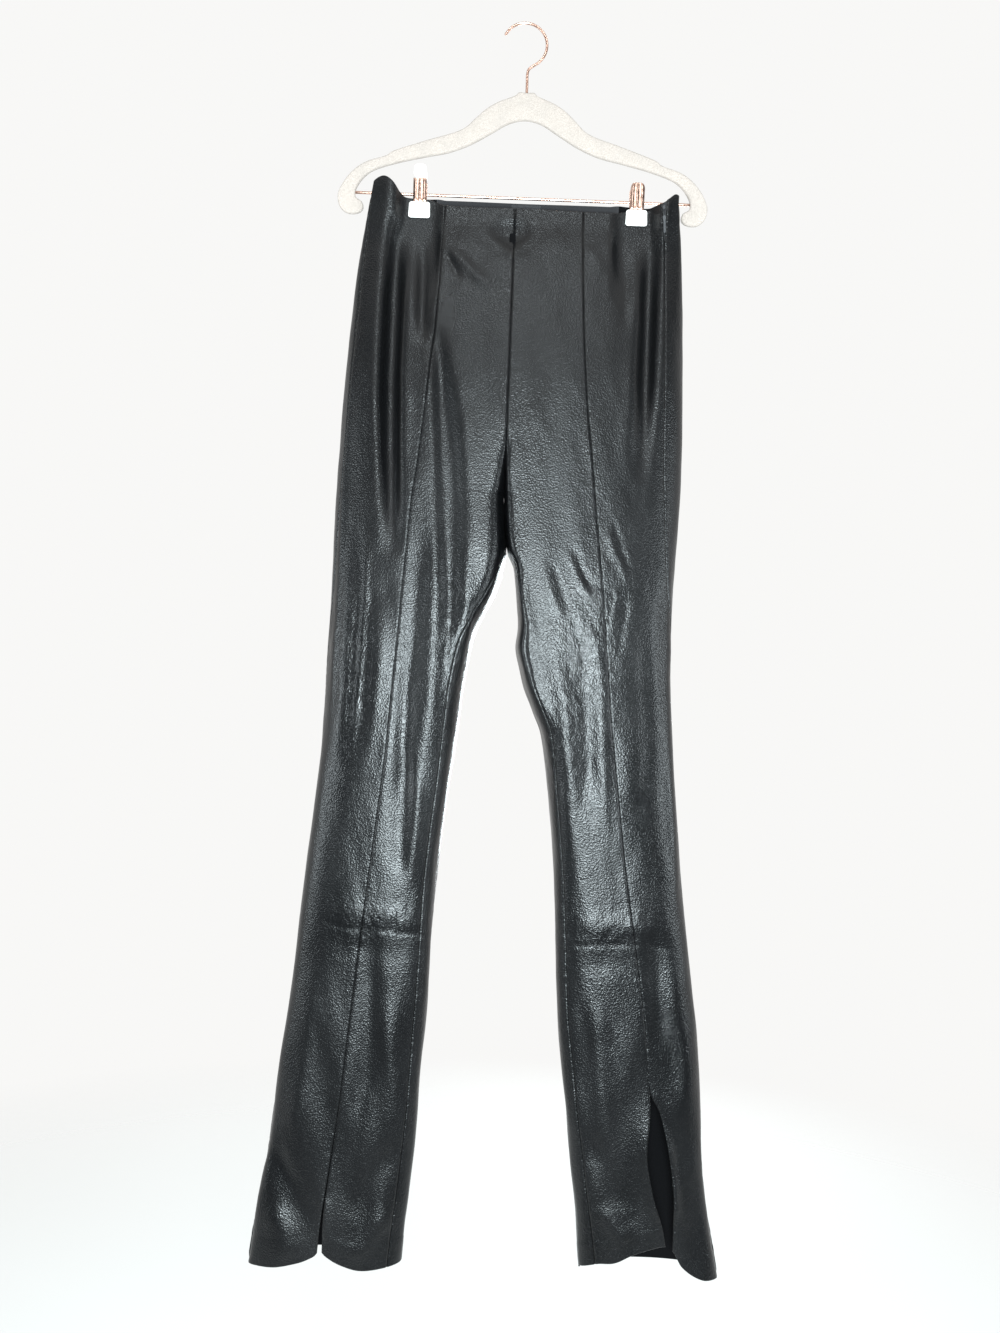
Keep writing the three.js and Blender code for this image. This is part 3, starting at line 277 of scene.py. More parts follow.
# Smaller creases laid on the main form, of the front and of the back: half width, depth (less than 0 is a
# ridge), then the path as x, z pairs. Each fades out towards its ends.
FRONT_CREASES = [
    # bowl and pucker under the front waist, drag lines from the front seams
    (6, -2.2, [(-48, -216), (-32, -246), (-11, -267), (8, -246), (23, -216)]),
    (20, 5.0, [(-36, -220), (-12, -236), (12, -220)]),
    (2.2, 1.2, [(5, -214), (6, -230), (4, -244)]),
    (7, -2.2, [(-86, -256), (-60, -282), (-28, -312)]),
    (3.5, 1.8, [(-85, -262), (-76, -280), (-64, -302)]),
    (8, -1.6, [(71, -248), (84, -268), (92, -290)]),
    (3, 1.0, [(-84, -222), (-74, -236), (-70, -252)]),
    (4, -1.1, [(92, -214), (106, -226), (116, -244)]),
    (4, 1.0, [(-134, -214), (-140, -240), (-142, -270)]),
    (5, 1.1, [(143, -214), (147, -236), (146, -262)]),
    # steep middles of the deepest folds
    (8, 7.0, [(-134, -226), (-139, -320), (-138, -405), (-135, -493), (-126, -610)]),
    (7, 5.5, [(145, -222), (145, -330), (144, -450)]),
    (5, 3.0, [(-112, -232), (-108, -300), (-105, -385)]),
    (7, 3.5, [(-88, -345), (-78, -500), (-62, -690)]),
    # long streaks down the thighs
    (9, -2.0, [(-84, -540), (-80, -650), (-80, -760), (-88, -870)]),
    (7, -1.7, [(-50, -575), (-43, -680), (-48, -780), (-58, -860)]),
    (9, -2.2, [(-180, -560), (-176, -660), (-176, -760), (-184, -850)]),
    (4, -1.6, [(-181, -330), (-186, -480), (-187, -640), (-190, -760), (-196, -860)]),
    (4, -1.4, [(-158, -560), (-156, -660), (-160, -760), (-168, -850)]),
    (7, 2.0, [(-64, -600), (-63, -700), (-70, -800)]),
    (8, 1.7, [(-104, -800), (-103, -890), (-108, -980)]),
    (6, -1.2, [(-90, -830), (-90, -900), (-95, -985)]),
    (9, -1.3, [(-142, -640), (-136, -720), (-142, -800), (-150, -860)]),
    (10, -2.4, [(48, -690), (66, -760), (76, -850), (80, -940)]),
    (8, -1.8, [(98, -640), (106, -740), (113, -850), (118, -930)]),
    (8, 1.6, [(84, -700), (92, -780), (99, -880)]),
    (6, -2.2, [(181, -560), (180, -680), (187, -820), (199, -960), (206, -1030)]),
    (7, -1.2, [(-2, -560), (14, -640), (38, -720)]),
    (10, 1.5, [(150, -640), (156, -760), (168, -880)]),
    # crinkles on the left thigh
    (3.5, -0.9, [(60, -590), (74, -622), (92, -655)]),
    (3.5, 0.8, [(66, -586), (80, -616), (99, -648)]),
    (3.5, -0.9, [(36, -606), (46, -640), (62, -676)]),
    (3.0, 0.8, [(46, -604), (56, -634), (70, -668)]),
    (4.0, -0.9, [(104, -560), (112, -590), (128, -622), (130, -650)]),
    (3.2, 0.7, [(112, -556), (122, -590), (134, -618)]),
    (4.0, -0.9, [(122, -620), (119, -655), (113, -700)]),
    (3.0, 0.7, [(132, -640), (128, -680), (122, -715)]),
    (4.0, -0.8, [(86, -668), (96, -694), (103, -730)]),
    (3.5, 0.6, [(70, -660), (82, -700), (88, -740)]),
    # knee creases: a sharp line with a full band above it
    (1.5, 0.7, [(-193, -1014), (-170, -1019), (-146, -1022)]),
    (1.5, 0.8, [(-141, -1018), (-110, -1022), (-66, -1026)]),
    (12, -0.9, [(-196, -1000), (-160, -1004), (-120, -1005), (-70, -1008)]),
    (1.5, 0.9, [(76, -1031), (110, -1028), (146, -1027), (158, -1026)]),
    (1.5, 0.7, [(163, -1027), (180, -1029), (204, -1034)]),
    (13, -1.5, [(80, -1010), (110, -1006), (148, -1006), (200, -1012)]),
    (14, 0.7, [(84, -1052), (130, -1048), (190, -1054)]),
    (14, 0.6, [(-196, -1042), (-130, -1044), (-74, -1048)]),
    # broad bands beside the front seams below the knee
    (13, 3.0, [(-138, -1010), (-136, -1100), (-138, -1190), (-146, -1260)]),
    (14, 3.0, [(172, -985), (182, -1070), (194, -1160)]),
    (12, -2.4, [(-118, -1080), (-108, -1180), (-112, -1290)]),
    (12, -2.0, [(-196, -1060), (-206, -1170), (-222, -1280)]),
    (12, -2.2, [(112, -1070), (122, -1170), (134, -1270)]),
    (11, -1.8, [(210, -1080), (222, -1180), (232, -1260)]),
    # uneven patches above the hems
    (15, 2.6, [(-250, -1262), (-216, -1312), (-196, -1368)]),
    (13, -2.2, [(-240, -1330), (-220, -1366), (-214, -1400)]),
    (15, 2.4, [(-96, -1250), (-124, -1296), (-150, -1352)]),
    (12, -2.0, [(-104, -1330), (-130, -1368), (-150, -1396)]),
    (14, 2.2, [(104, -1230), (132, -1280), (160, -1340)]),
    (12, -2.0, [(124, -1320), (148, -1356), (170, -1384)]),
    (12, 2.0, [(236, -1270), (232, -1320), (240, -1384)]),
    # the split edges of the left leg stand open and curl
    (9, -3.2, [(184, -1205), (180, -1258), (187, -1300), (196, -1346), (202, -1372)]),
    (8, -3.6, [(190, -1214), (203, -1262), (210, -1300), (212, -1350), (214, -1372)]),
    (6, -1.6, [(-176, -1320), (-176, -1360), (-179, -1384)]),
]
BACK_CREASES = [
    # seat, thighs, knees and hems
    (9, 3.4, [(-30, -520), (-70, -546), (-120, -560), (-165, -556)]),
    (10, -2.6, [(-34, -500), (-80, -524), (-130, -536), (-170, -530)]),
    (9, 3.2, [(18, -522), (60, -548), (110, -562), (158, -556)]),
    (10, -2.4, [(20, -502), (66, -526), (116, -538), (160, -530)]),
    (8, 2.6, [(-60, -215), (-52, -300), (-40, -370)]),
    (8, 2.4, [(58, -215), (48, -300), (38, -366)]),
    (11, -2.6, [(-92, -290), (-100, -370), (-112, -450)]),
    (11, -2.4, [(92, -290), (98, -370), (104, -450)]),
    (9, -2.2, [(-150, -600), (-150, -720), (-160, -850)]),
    (9, -2.4, [(-70, -620), (-78, -740), (-92, -860)]),
    (9, -2.2, [(140, -600), (144, -720), (158, -850)]),
    (9, -2.4, [(60, -640), (76, -750), (96, -870)]),
    (2.2, 1.9, [(-190, -1002), (-150, -1010), (-110, -1010)]),
    (2.2, 1.7, [(-160, -1030), (-120, -1036), (-80, -1030)]),
    (12, -2.6, [(-190, -985), (-140, -990), (-84, -992)]),
    (2.2, 1.9, [(100, -1014), (140, -1018), (180, -1012)]),
    (2.2, 1.7, [(90, -1040), (126, -1046), (160, -1040)]),
    (12, -2.6, [(86, -994), (130, -996), (184, -992)]),
    (13, 2.8, [(-120, -1080), (-130, -1180), (-140, -1290)]),
    (13, -2.4, [(-180, -1090), (-192, -1200), (-206, -1310)]),
    (13, 2.8, [(140, -1080), (156, -1180), (170, -1290)]),
    (13, -2.4, [(190, -1090), (206, -1200), (222, -1310)]),
]
CREASE_FADE, CREASE_WIDTH, CREASE_BANK = 0.3, 0.9, 0.25


def crease_push(face, x, z):
    """Sum of the small creases at x, z: each is a soft bell across its path, fading towards its ends."""
    push = np.zeros(x.shape)
    sides = [(-1, *crease) for crease in FRONT_CREASES] + [(1, *crease) for crease in BACK_CREASES]
    for side, half, depth, path in sides:
        near = np.full(x.shape, 1e9)
        where = np.zeros(x.shape)
        path = np.array(path, float)
        lengths = np.hypot(*np.diff(path, axis=0).T)
        done = 0.0
        for (ax, az), (bx, bz), length in zip(path[:-1], path[1:], lengths):
            t = np.clip(((x - ax) * (bx - ax) + (z - az) * (bz - az)) / length ** 2, 0, 1)
            gap = np.hypot(x - ax - t * (bx - ax), z - az - t * (bz - az))
            closer = gap < near
            near = np.where(closer, gap, near)
            where = np.where(closer, (done + t * length) / lengths.sum(), where)
            done += length
        fade = soft(where / CREASE_FADE) * soft((1 - where) / CREASE_FADE)
        q = (near / half) ** 2
        bell = np.exp(-CREASE_WIDTH * q) * (1 - CREASE_BANK * q)
        push += np.where(face == side, depth * fade * bell, 0)
    return push


def waves(points, seed, across, down, count=26):
    """Smooth uneven field with values round 0: a sum of sines of random direction, `across` and `down`
    millimetres long on average."""
    rng = np.random.default_rng(seed)
    total = np.zeros(points.shape[:-1])
    for _ in range(count):
        turn = rng.uniform(0, 2 * np.pi)
        k = 2 * np.pi / across * rng.uniform(0.6, 1.5)
        kz = 2 * np.pi / down * rng.uniform(0.4, 1.6) * rng.choice([-1, 1])
        phase = rng.uniform(0, 2 * np.pi)
        wave = k * (np.cos(turn) * points[..., 0] + np.sin(turn) * points[..., 1]) + kz * points[..., 2]
        total += np.sin(wave + phase)
    return total / np.sqrt(count / 2)


EDGE = np.array([0, 0.3, 0.7, 1.2, 1.9, 2.8, 4.2, 6.4])  # distances of the outermost columns from an edge
# the seam allowance of one panel lies under its neighbour: how far past the edge, and how deep
FLAP = np.array([-4.6, -1.6, -0.1])
FLAP_DEPTH = np.array([1.95, 2.15, 2.15])
FLAP_REST = 0.03  # share of its width that a flap keeps where there is no allowance
SPLIT_TOP = -1195.0
COLUMNS = {"front_centre": 26, "front_side": 28, "back": 72}
SEAM_SINK, SEAM_SOFT = 0.7, 0.9
EDGE_ROUND = 0.9
HEM_TURN, HEM_STEP, HEM_SOFT = 28.0, 0.25, 1.5
EDGE_SINK = 0.6  # share of the rounding that the outer face takes at the waist and hem edges
# unevenness begins BAND under the waist edge and comes in over BAND_FADE; it grows from the knee down
BAND, BAND_FADE, KNEE, KNEE_FADE = 4.0, 70.0, -1010.0, 260.0
# waves in the cloth as (seed, length across, length down), and how high each kind is
BROAD, BROAD_HIGH, BROAD_HEM = (11, 46, 190), 0.3, 0.4
SMALL, SMALL_HIGH = (12, 19, 62), 0.08
CRINKLES = [((13, 8, 20), 0.14), ((15, 5, 9), 0.05)]
RIPPLE, RIPPLE_HIGH, RIPPLE_WIDE = (14, 20, 11), 0.10, 5


def owned_edges(name, panel):
    """Rows on which the start and the end of a panel carry the seam allowance, as 0 or 1."""
    nowhere = np.zeros(len(LEVELS))
    legs = (LEVELS <= CROTCH).astype(float)
    if panel == "front_centre":
        return legs, nowhere
    if panel == "front_side":
        closed = LEVELS <= ZIP_STOP if name == "left" else LEVELS <= WAIST_TOP
        return (LEVELS > SPLIT_TOP).astype(float), closed.astype(float)
    return nowhere, nowhere


def at_distance(distance, reach, points, closed):
    """Points of one section at distances along it: round and round a closed one, and carried straight on
    past the ends of an open one."""
    if closed:
        distance = distance % reach[-1]
    inside = np.clip(distance, reach[0], reach[-1])
    found = np.stack([np.interp(inside, reach, points[:, k]) for k in range(3)], -1)
    before = (points[1] - points[0]) / max(1e-6, reach[1] - reach[0])
    after = (points[-1] - points[-2]) / max(1e-6, reach[-1] - reach[-2])
    over = (distance - inside)[:, None]
    return found + np.where(over < 0, before, after) * over


def panel_grid(name, panel):
    """Outer face of one panel as a grid of points with normals, and what its surface needs to know."""
    half = HALVES[name]
    points, reach = SECTIONS[name]
    start, end = panel_ends(name, points, reach, panel)
    width = end - start
    middle = np.linspace(0, 1, COLUMNS[panel] + 1)[None, 1:-1]
    inner = EDGE[-1] + (width[:, None] - 2 * EDGE[-1]) * middle
    owned = [FLAP_REST + (1 - FLAP_REST) * rows[:, None] for rows in owned_edges(name, panel)]
    offset = np.concatenate([
        FLAP * owned[0], np.tile(EDGE, (len(LEVELS), 1)), inner, width[:, None] - EDGE[::-1],
        width[:, None] - (FLAP * owned[1])[:, ::-1]], 1)
    flap = np.zeros(offset.shape)
    flap[:, : len(FLAP)] = FLAP_DEPTH
    flap[:, -len(FLAP):] = FLAP_DEPTH[::-1]
    distance = start[:, None] + offset
    grid = np.stack([
        at_distance(distance[r], reach[r], points[r], LEVELS[r] < CROTCH) for r in range(len(LEVELS))])
    normal = np.cross(np.gradient(grid, axis=0), np.gradient(grid, axis=1)) * half["side"]
    normal /= np.linalg.norm(normal, axis=-1, keepdims=True)
    z = np.broadcast_to(LEVELS[:, None], distance.shape)
    x = grid[..., 0]
    whole_way = reach[:, -1:]
    face = np.where((distance <= reach[:, SAMPLES][:, None]) | (distance > whole_way), -1, 1)
    free = 1 - pinch(x, z)
    lower = soft((WAIST_TOP - BAND - z) / BAND_FADE)
    hem_near = soft((KNEE - z) / KNEE_FADE)
    push = crease_push(face, x, z)
    noise = waves(grid, *BROAD) * (BROAD_HIGH + BROAD_HEM * hem_near) + waves(grid, *SMALL) * SMALL_HIGH
    crinkle = crinkle_zone(face, x, z)
    noise = noise + sum(waves(grid, *kind) * high for kind, high in CRINKLES) * crinkle
    to_side = np.maximum(0, np.minimum(offset, width[:, None] - offset))
    seam_ripple = waves(np.stack([x * 0, x * 0, z], -1), *RIPPLE) * RIPPLE_HIGH
    seam_ripple = seam_ripple * np.exp(-to_side / RIPPLE_WIDE)
    # the same sunken depth also paints shade into the leather's colour in the seam grooves and on the tucked
    # seam allowances
    sink_and_shade = np.where(flap > 0, flap, SEAM_SINK * np.exp(-((to_side / SEAM_SOFT) ** 2)))
    to_end = np.minimum(WAIST_TOP - z, z - HEM)
    rounding = EDGE_ROUND - np.sqrt(np.maximum(0, EDGE_ROUND ** 2 - np.maximum(0, EDGE_ROUND - to_end) ** 2))
    turned = HEM_STEP * soft((HEM + HEM_TURN - z) / HEM_SOFT + 0.5)
    out = (noise - push) * free * lower + seam_ripple * lower + turned - sink_and_shade - rounding * EDGE_SINK
    return {
        "half": half, "base": grid, "outer": grid + normal * out[..., None], "normal": normal,
        "sink_and_shade": sink_and_shade, "crinkle": crinkle, "z": z, "face": face}


def crinkle_zone(face, x, z):
    """Where the leather is finely crinkled: the thighs' fronts, the knees and behind the knees."""
    def spot(cx, cz, rx, rz, side):
        inside = np.exp(-(((x - cx) / rx) ** 2 + ((z - cz) / rz) ** 2))
        return np.where(face == side, inside, 0)
    spots = [
        spot(92, -660, 46, 110, -1), spot(80, -800, 34, 90, -1), spot(-66, -690, 40, 130, -1),
        spot(-172, -700, 22, 110, -1), spot(-118, -1010, 90, 24, -1), spot(130, -1006, 80, 28, -1),
        spot(-12, -240, 34, 26, -1), spot(-130, -1015, 90, 40, 1), spot(140, -1020, 90, 40, 1),
        spot(-80, -540, 90, 50, 1), spot(80, -540, 90, 50, 1)]
    return np.clip(sum(spots), 0, 1)


def grid_faces(rows, cols, flip):
    """Quads of a closed wall: outer grid, inner grid and the four edges between them. The second value
    says which quads belong to the inner face."""
    def at(layer, r, c):
        return layer * rows * cols + r * cols + c
    r, c = np.meshgrid(np.arange(rows - 1), np.arange(cols - 1), indexing="ij")
    r, c = r.ravel(), c.ravel()
    outer = np.stack([at(0, r, c), at(0, r + 1, c), at(0, r + 1, c + 1), at(0, r, c + 1)], 1)
    inner = np.stack([at(1, r, c), at(1, r, c + 1), at(1, r + 1, c + 1), at(1, r + 1, c)], 1)
    r, c, last_r, last_c = np.arange(rows - 1), np.arange(cols - 1), rows - 1, cols - 1
    edges = [
        np.stack([at(0, r, 0), at(1, r, 0), at(1, r + 1, 0), at(0, r + 1, 0)], 1),
        np.stack([at(0, r, last_c), at(0, r + 1, last_c), at(1, r + 1, last_c), at(1, r, last_c)], 1),
        np.stack([at(0, 0, c), at(0, 0, c + 1), at(1, 0, c + 1), at(1, 0, c)], 1),
        np.stack([at(0, last_r, c), at(1, last_r, c), at(1, last_r, c + 1), at(0, last_r, c + 1)], 1)]
    faces = np.concatenate([outer, inner, *edges])
    is_inner = np.zeros(len(faces), bool)
    is_inner[len(outer):len(outer) + len(inner)] = True
    return (faces[:, ::-1] if flip else faces), is_inner


def make_mesh(name, points_mm, faces, body, **attributes):
    """Mesh object from points in millimetres of the hung group and a face array, riding on a body."""
    mesh = bpy.data.meshes.new(name)
    moved = (points_mm + np.array([HUNG_OFFSET, 0, 0])) * MM
    mesh.from_pydata(moved.tolist(), [], faces.tolist() if isinstance(faces, np.ndarray) else faces)
    for key, values in attributes.items():
        mesh.attributes.new(key, "FLOAT", "POINT").data.foreach_set("value", values.astype(np.float32))
    mesh.polygons.foreach_set("use_smooth", np.ones(len(mesh.polygons), bool))
    mesh.update()
    obj = bpy.data.objects.new(name, mesh)
    bpy.context.scene.collection.objects.link(obj)
    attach(obj, body)
    return obj


def new_material(name, color, roughness, metallic=0.0):
    """Material with one Principled shader; returns it with its nodes, links and the shader."""
    material = bpy.data.materials.new(name)
    material.use_nodes = True
    tree = material.node_tree
    shader = tree.nodes["Principled BSDF"]
    shader.inputs["Base Color"].default_value = (*color, 1)
    shader.inputs["Roughness"].default_value = roughness
    shader.inputs["Metallic"].default_value = metallic
    return material, tree, shader


def add_node(tree, kind, settings=None, **inputs):
    """New shader node with its settings and input values; an input given as a socket is linked."""
    node = tree.nodes.new(kind)
    for key, value in (settings or {}).items():
        setattr(node, key, value)
    for key, value in inputs.items():
        socket = node.inputs[int(key[2:])] if key.startswith("in") else node.inputs[key.replace("_", " ")]
        if isinstance(value, bpy.types.NodeSocket):
            tree.links.new(value, socket)
        else:
            socket.default_value = value
    return node


def scaled(tree, coordinates, scale):
    """Object coordinates stretched by a scale for each axis."""
    return add_node(tree, "ShaderNodeMapping", Vector=coordinates, Scale=scale).outputs[0]


def spread(tree, value, low, high, to_low, to_high):
    """Value moved from one range to another and kept inside it."""
    return add_node(tree, "ShaderNodeMapRange", Value=value, From_Min=low, From_Max=high,
                    To_Min=to_low, To_Max=to_high).outputs[0]


def object_position(tree):
    """Position on the piece in its own frame."""
    return add_node(tree, "ShaderNodeTexCoord").outputs["Object"]


def noise_at(tree, where, scale, detail, **more):
    """Noise of a scale and detail."""
    node = add_node(tree, "ShaderNodeTexNoise", Vector=where, Scale=scale, Detail=detail, **more)
    return node.outputs["Fac"]


def mixed(tree, share, first, second):
    """Colour between two others. Each is a colour or a socket."""
    node = add_node(tree, "ShaderNodeMix", {"data_type": "RGBA"}, Factor=share)
    for key, value in (("A", first), ("B", second)):
        if isinstance(value, bpy.types.NodeSocket):
            tree.links.new(value, node.inputs[key])
        else:
            node.inputs[key].default_value = (*value, 1)
    return node.outputs["Result"]


def add_bumps(tree, shader, *layers):
    """Bumps laid one on another, each as (height, strength, distance)."""
    below = {}
    for height, strength, distance in layers:
        bump = add_node(tree, "ShaderNodeBump", Strength=strength, Distance=distance, Height=height, **below)
        below = {"Normal": bump.outputs[0]}
    tree.links.new(bump.outputs[0], shader.inputs["Normal"])


def leather_material():
    """Black coated leather: fine pebble grain, faint long creases, patches of higher and lower gloss, painted
    shade in the seams.
    """
    material, tree, shader = new_material("black_leather", (0.006, 0.0063, 0.007), 0.4)
    where = object_position(tree)
    crinkle = add_node(tree, "ShaderNodeAttribute", {"attribute_name": "crinkle"}).outputs["Fac"]
    sink_and_shade = add_node(tree, "ShaderNodeAttribute", {"attribute_name": "sink_and_shade"}).outputs["Fac"]
    pebble = add_node(tree, "ShaderNodeTexVoronoi", {"feature": "SMOOTH_F1"}, Vector=where, Scale=620.0,
                      Smoothness=0.6, Randomness=1.0).outputs["Distance"]
    fine = noise_at(tree, where, 1500.0, 3.0)
    stretched = scaled(tree, where, (150, 150, 40))
    long_crease = noise_at(tree, stretched, 1.0, 4.0, Roughness=0.62, Distortion=0.9)
    patches = noise_at(tree, scaled(tree, where, (16, 16, 6)), 1.0, 3.0)
    gloss = spread(tree, patches, 0.3, 0.7, 0.27, 0.37)
    rub = add_node(tree, "ShaderNodeMath", {"operation": "MULTIPLY_ADD"}, in0=crinkle, in1=-0.03, in2=gloss)
    tree.links.new(rub.outputs[0], shader.inputs["Roughness"])
    tint = mixed(
        tree, spread(tree, patches, 0.35, 0.7, 0, 1), (0.0028, 0.0030, 0.0034), (0.0048, 0.0050, 0.0055))
    # painted shade: the base colour goes almost black in the sunken seam grooves and on the seam allowances
    # under the neighbouring panels
    shaded_tint = mixed(tree, spread(tree, sink_and_shade, 0.3, 1.0, 0, 1), tint, (0.001, 0.001, 0.0012))
    tree.links.new(shaded_tint, shader.inputs["Base Color"])
    speckle = noise_at(tree, where, 330.0, 2.0)
    amount = spread(tree, crinkle, 0.0, 1.0, 0.06, 0.5)
    height = add_node(tree, "ShaderNodeMath", {"operation": "MULTIPLY"}, in0=long_crease, in1=amount)
    add_bumps(tree, shader, (pebble, 0.55, 0.0006), (speckle, 0.32, 0.0005), (fine, 0.25, 0.0003),
              (height.outputs[0], 0.6, 0.0018))
    shader.inputs["Specular IOR Level"].default_value = 0.37
    return material


def backing_material():
    """Dark knitted backing of the leather, seen inside the waist and the hems."""
    material, tree, shader = new_material("leather_backing", (0.0025, 0.0025, 0.003), 0.9)
    where = object_position(tree)
    knit = add_node(tree, "ShaderNodeTexWave", {"bands_direction": "Z"}, Vector=where, Scale=260.0,
                    Distortion=2.0).outputs["Fac"]
    add_bumps(tree, shader, (knit, 0.4, 0.0004))
    shader.inputs["Specular IOR Level"].default_value = 0.08
    return material


LEATHER, BACKING = leather_material(), backing_material()
# the shaped grid of each panel, by half and panel
GRIDS = {}
for side_name in HALVES:
    for panel_name in COLUMNS:
        grid = GRIDS[side_name, panel_name] = panel_grid(side_name, panel_name)
        outer = grid["outer"]
        inner = grid["base"] + (grid["outer"] - grid["base"]) * 0.85 - grid["normal"] * CLOTH
        faces, is_inner = grid_faces(*outer.shape[:2], flip=grid["half"]["side"] < 0)
        both = np.concatenate([outer.reshape(-1, 3), inner.reshape(-1, 3)])
        # the sunken depth goes to the shader, which paints shade from it; crinkle only sets gloss and bumps
        twice = {k: np.tile(grid[k].ravel(), 2) for k in ("sink_and_shade", "crinkle")}
        piece_name = f"{side_name}_{panel_name}"
        panel = make_mesh(f"leather_{piece_name}", both, faces, "trousers", **twice)
        panel.data.materials.append(LEATHER)
        panel.data.materials.append(BACKING)
        panel.data.polygons.foreach_set("material_index", is_inner.astype(np.int32))
        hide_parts(piece_name)

# The centre seams are backed from the front waist, under the crotch, to the back waist by one narrow strip
# of the same cloth: the seam allowances of both halves pressed together.
above = LEVELS >= CROTCH
front_line, back_line = (
    sum(GRIDS[side_name, panel_name]["base"][above, column] for side_name in HALVES) / 2
    for panel_name, column in (("front_centre", len(FLAP)), ("back", -1 - len(FLAP))))
STRIP_START = 8  # the strip starts this many rows under the waist edge
seam_line = np.concatenate([front_line[STRIP_START:], back_line[-2:STRIP_START - 1:-1]])
ahead = np.gradient(seam_line[:, 1:], axis=0)
inward = np.stack([-ahead[:, 1], ahead[:, 0]], 1) / np.linalg.norm(ahead, axis=1, keepdims=True)
ALLOWANCE_HALF, ALLOWANCE_UNDER, ALLOWANCE_THICK = 5.0, 2.2, 0.6
allowance = []
for depth in (ALLOWANCE_UNDER, ALLOWANCE_UNDER + ALLOWANCE_THICK):
    across = np.linspace(-ALLOWANCE_HALF, ALLOWANCE_HALF, 7)
    rows = np.repeat(seam_line[:, None, :], len(across), 1)
    rows[..., 0] += across
    rows[..., 1:] += inward[:, None, :] * depth
    allowance.append(rows)
faces, _ = grid_faces(*allowance[0].shape[:2], flip=True)
centre_allowance = make_mesh(
    "centre_seam_allowance", np.concatenate([a.reshape(-1, 3) for a in allowance]), faces, "trousers")
centre_allowance.data.materials.append(BACKING)

# ---- inside of the waist ----
# A facing of matt black cloth is sewn inside the back waist, where it stands a little above the front edge,
# with a small blank woven tab at its middle.

def back_inside(x, levels, beneath):
    """Points on the inside of the back at each x and nominal height, so far beneath the outer face."""
    rows = []
    for z in levels:
        across = np.zeros((len(x), 3))
        for name, here in (("right", x < MIDDLE), ("left", x >= MIDDLE)):
            points, _ = section(HALVES[name], np.array([z]))
            back = points[0, SAMPLES:]
            back = back[np.argsort(back[:, 0])]
            across[here] = np.stack([
                x[here], np.interp(x[here], back[:, 0], back[:, 1]) - beneath,
                np.interp(x[here], back[:, 0], back[:, 2])], -1)
        rows.append(across)
    return np.stack(rows)


def flat_wall(name, outer, inner, look, slot, node):
    """Closed wall between two grids with one material, standing for the named node."""
    faces, _ = grid_faces(*outer.shape[:2], flip=False)
    both = np.concatenate([outer.reshape(-1, 3), inner.reshape(-1, 3)])
    volume = np.einsum("ij,ij->i", both[faces[:, 0]], np.cross(both[faces[:, 1]], both[faces[:, 2]])).sum()
    volume += np.einsum("ij,ij->i", both[faces[:, 0]], np.cross(both[faces[:, 2]], both[faces[:, 3]])).sum()
    obj = make_mesh(name, both, faces if volume > 0 else faces[:, ::-1], "trousers")
    obj.data.materials.append(look)
    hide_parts(node)
    return obj


def woven_material(name, color, scale, roughness=0.85):
    """Plain woven cloth: fine crossing threads with a faint sheen."""
    material, tree, shader = new_material(name, color, roughness)
    where = object_position(tree)
    warp = add_node(tree, "ShaderNodeTexWave", {"bands_direction": "X"}, Vector=where, Scale=scale)
    weft = add_node(tree, "ShaderNodeTexWave", {"bands_direction": "Z"}, Vector=where, Scale=scale)
    both = add_node(tree, "ShaderNodeMath", {"operation": "MAXIMUM"}, in0=warp.outputs["Fac"],
                    in1=weft.outputs["Fac"])
    add_bumps(tree, shader, (both.outputs[0], 0.5, 0.0003))
    shader.inputs["Sheen Weight"].default_value = 0.15
    return material


FACING_UNDER = CLOTH + 2 * SEAM_GAP
FACING_THICK, FACING_LOWER = 1.0, 0.6
facing_x = np.linspace(-97, 109, 70)
facing_levels = np.array([-200, -200.6, -202, -205, -209, -214, -220, -226, -230, -231.4, -232])
facing_out = back_inside(facing_x, facing_levels, FACING_UNDER)
facing_in = back_inside(facing_x, facing_levels, FACING_UNDER + FACING_THICK)
for grid_rows in (facing_out, facing_in):
    grid_rows[..., 2] -= FACING_LOWER
FACING = woven_material("black_facing", (0.010, 0.010, 0.012), 420.0)
facing = flat_wall("back_facing", facing_out, facing_in, FACING, "facing", "back_waist_facing")

LABEL_UNDER = FACING_UNDER + FACING_THICK + SEAM_GAP
LABEL_THICK = 0.5
label_x = np.linspace(-12, 21, 22)
label_levels = np.array([-201.5, -202, -203, -205, -208, -211, -212.5, -213])
label_out = back_inside(label_x, label_levels, LABEL_UNDER)
label_in = back_inside(label_x, label_levels, LABEL_UNDER + LABEL_THICK)
for grid_rows in (label_out, label_in):
    grid_rows[..., 2] -= FACING_LOWER
LABEL = woven_material("black_label", (0.016, 0.016, 0.018), 700.0, 0.6)
label = flat_wall("woven_label", label_out, label_in, LABEL, "label", "blank_label")

# ---- side zip ----
# The left side seam closes with a slim zip: two black tapes, a row of fine teeth on each, a plated slider
# with a hanging tab, and a small flat hook above it.
TAPE_UNDER, TAPE_THICK, TAPE_FOOT = 2.25, 0.6, -380.0
side_panel, back_panel = GRIDS["left", "front_side"], GRIDS["left", "back"]
zip_rows = np.where((LEVELS < -201) & (LEVELS > TAPE_FOOT))[0]
last, first = -1 - len(FLAP), len(FLAP)
tape_columns = [(side_panel, last - 7), (side_panel, last - 4), (side_panel, last), (back_panel, first),
                (back_panel, first + 4), (back_panel, first + 7)]


def zip_surface(depth):
    """Grid across the zip at a depth beneath the leather's outer face."""
    return np.stack([g["base"][zip_rows, c] - g["normal"][zip_rows, c] * depth for g, c in tape_columns], 1)


tape = flat_wall("zip_tapes", zip_surface(TAPE_UNDER), zip_surface(TAPE_UNDER + TAPE_THICK), FACING,
                 "zip_tape", "zip_tape")

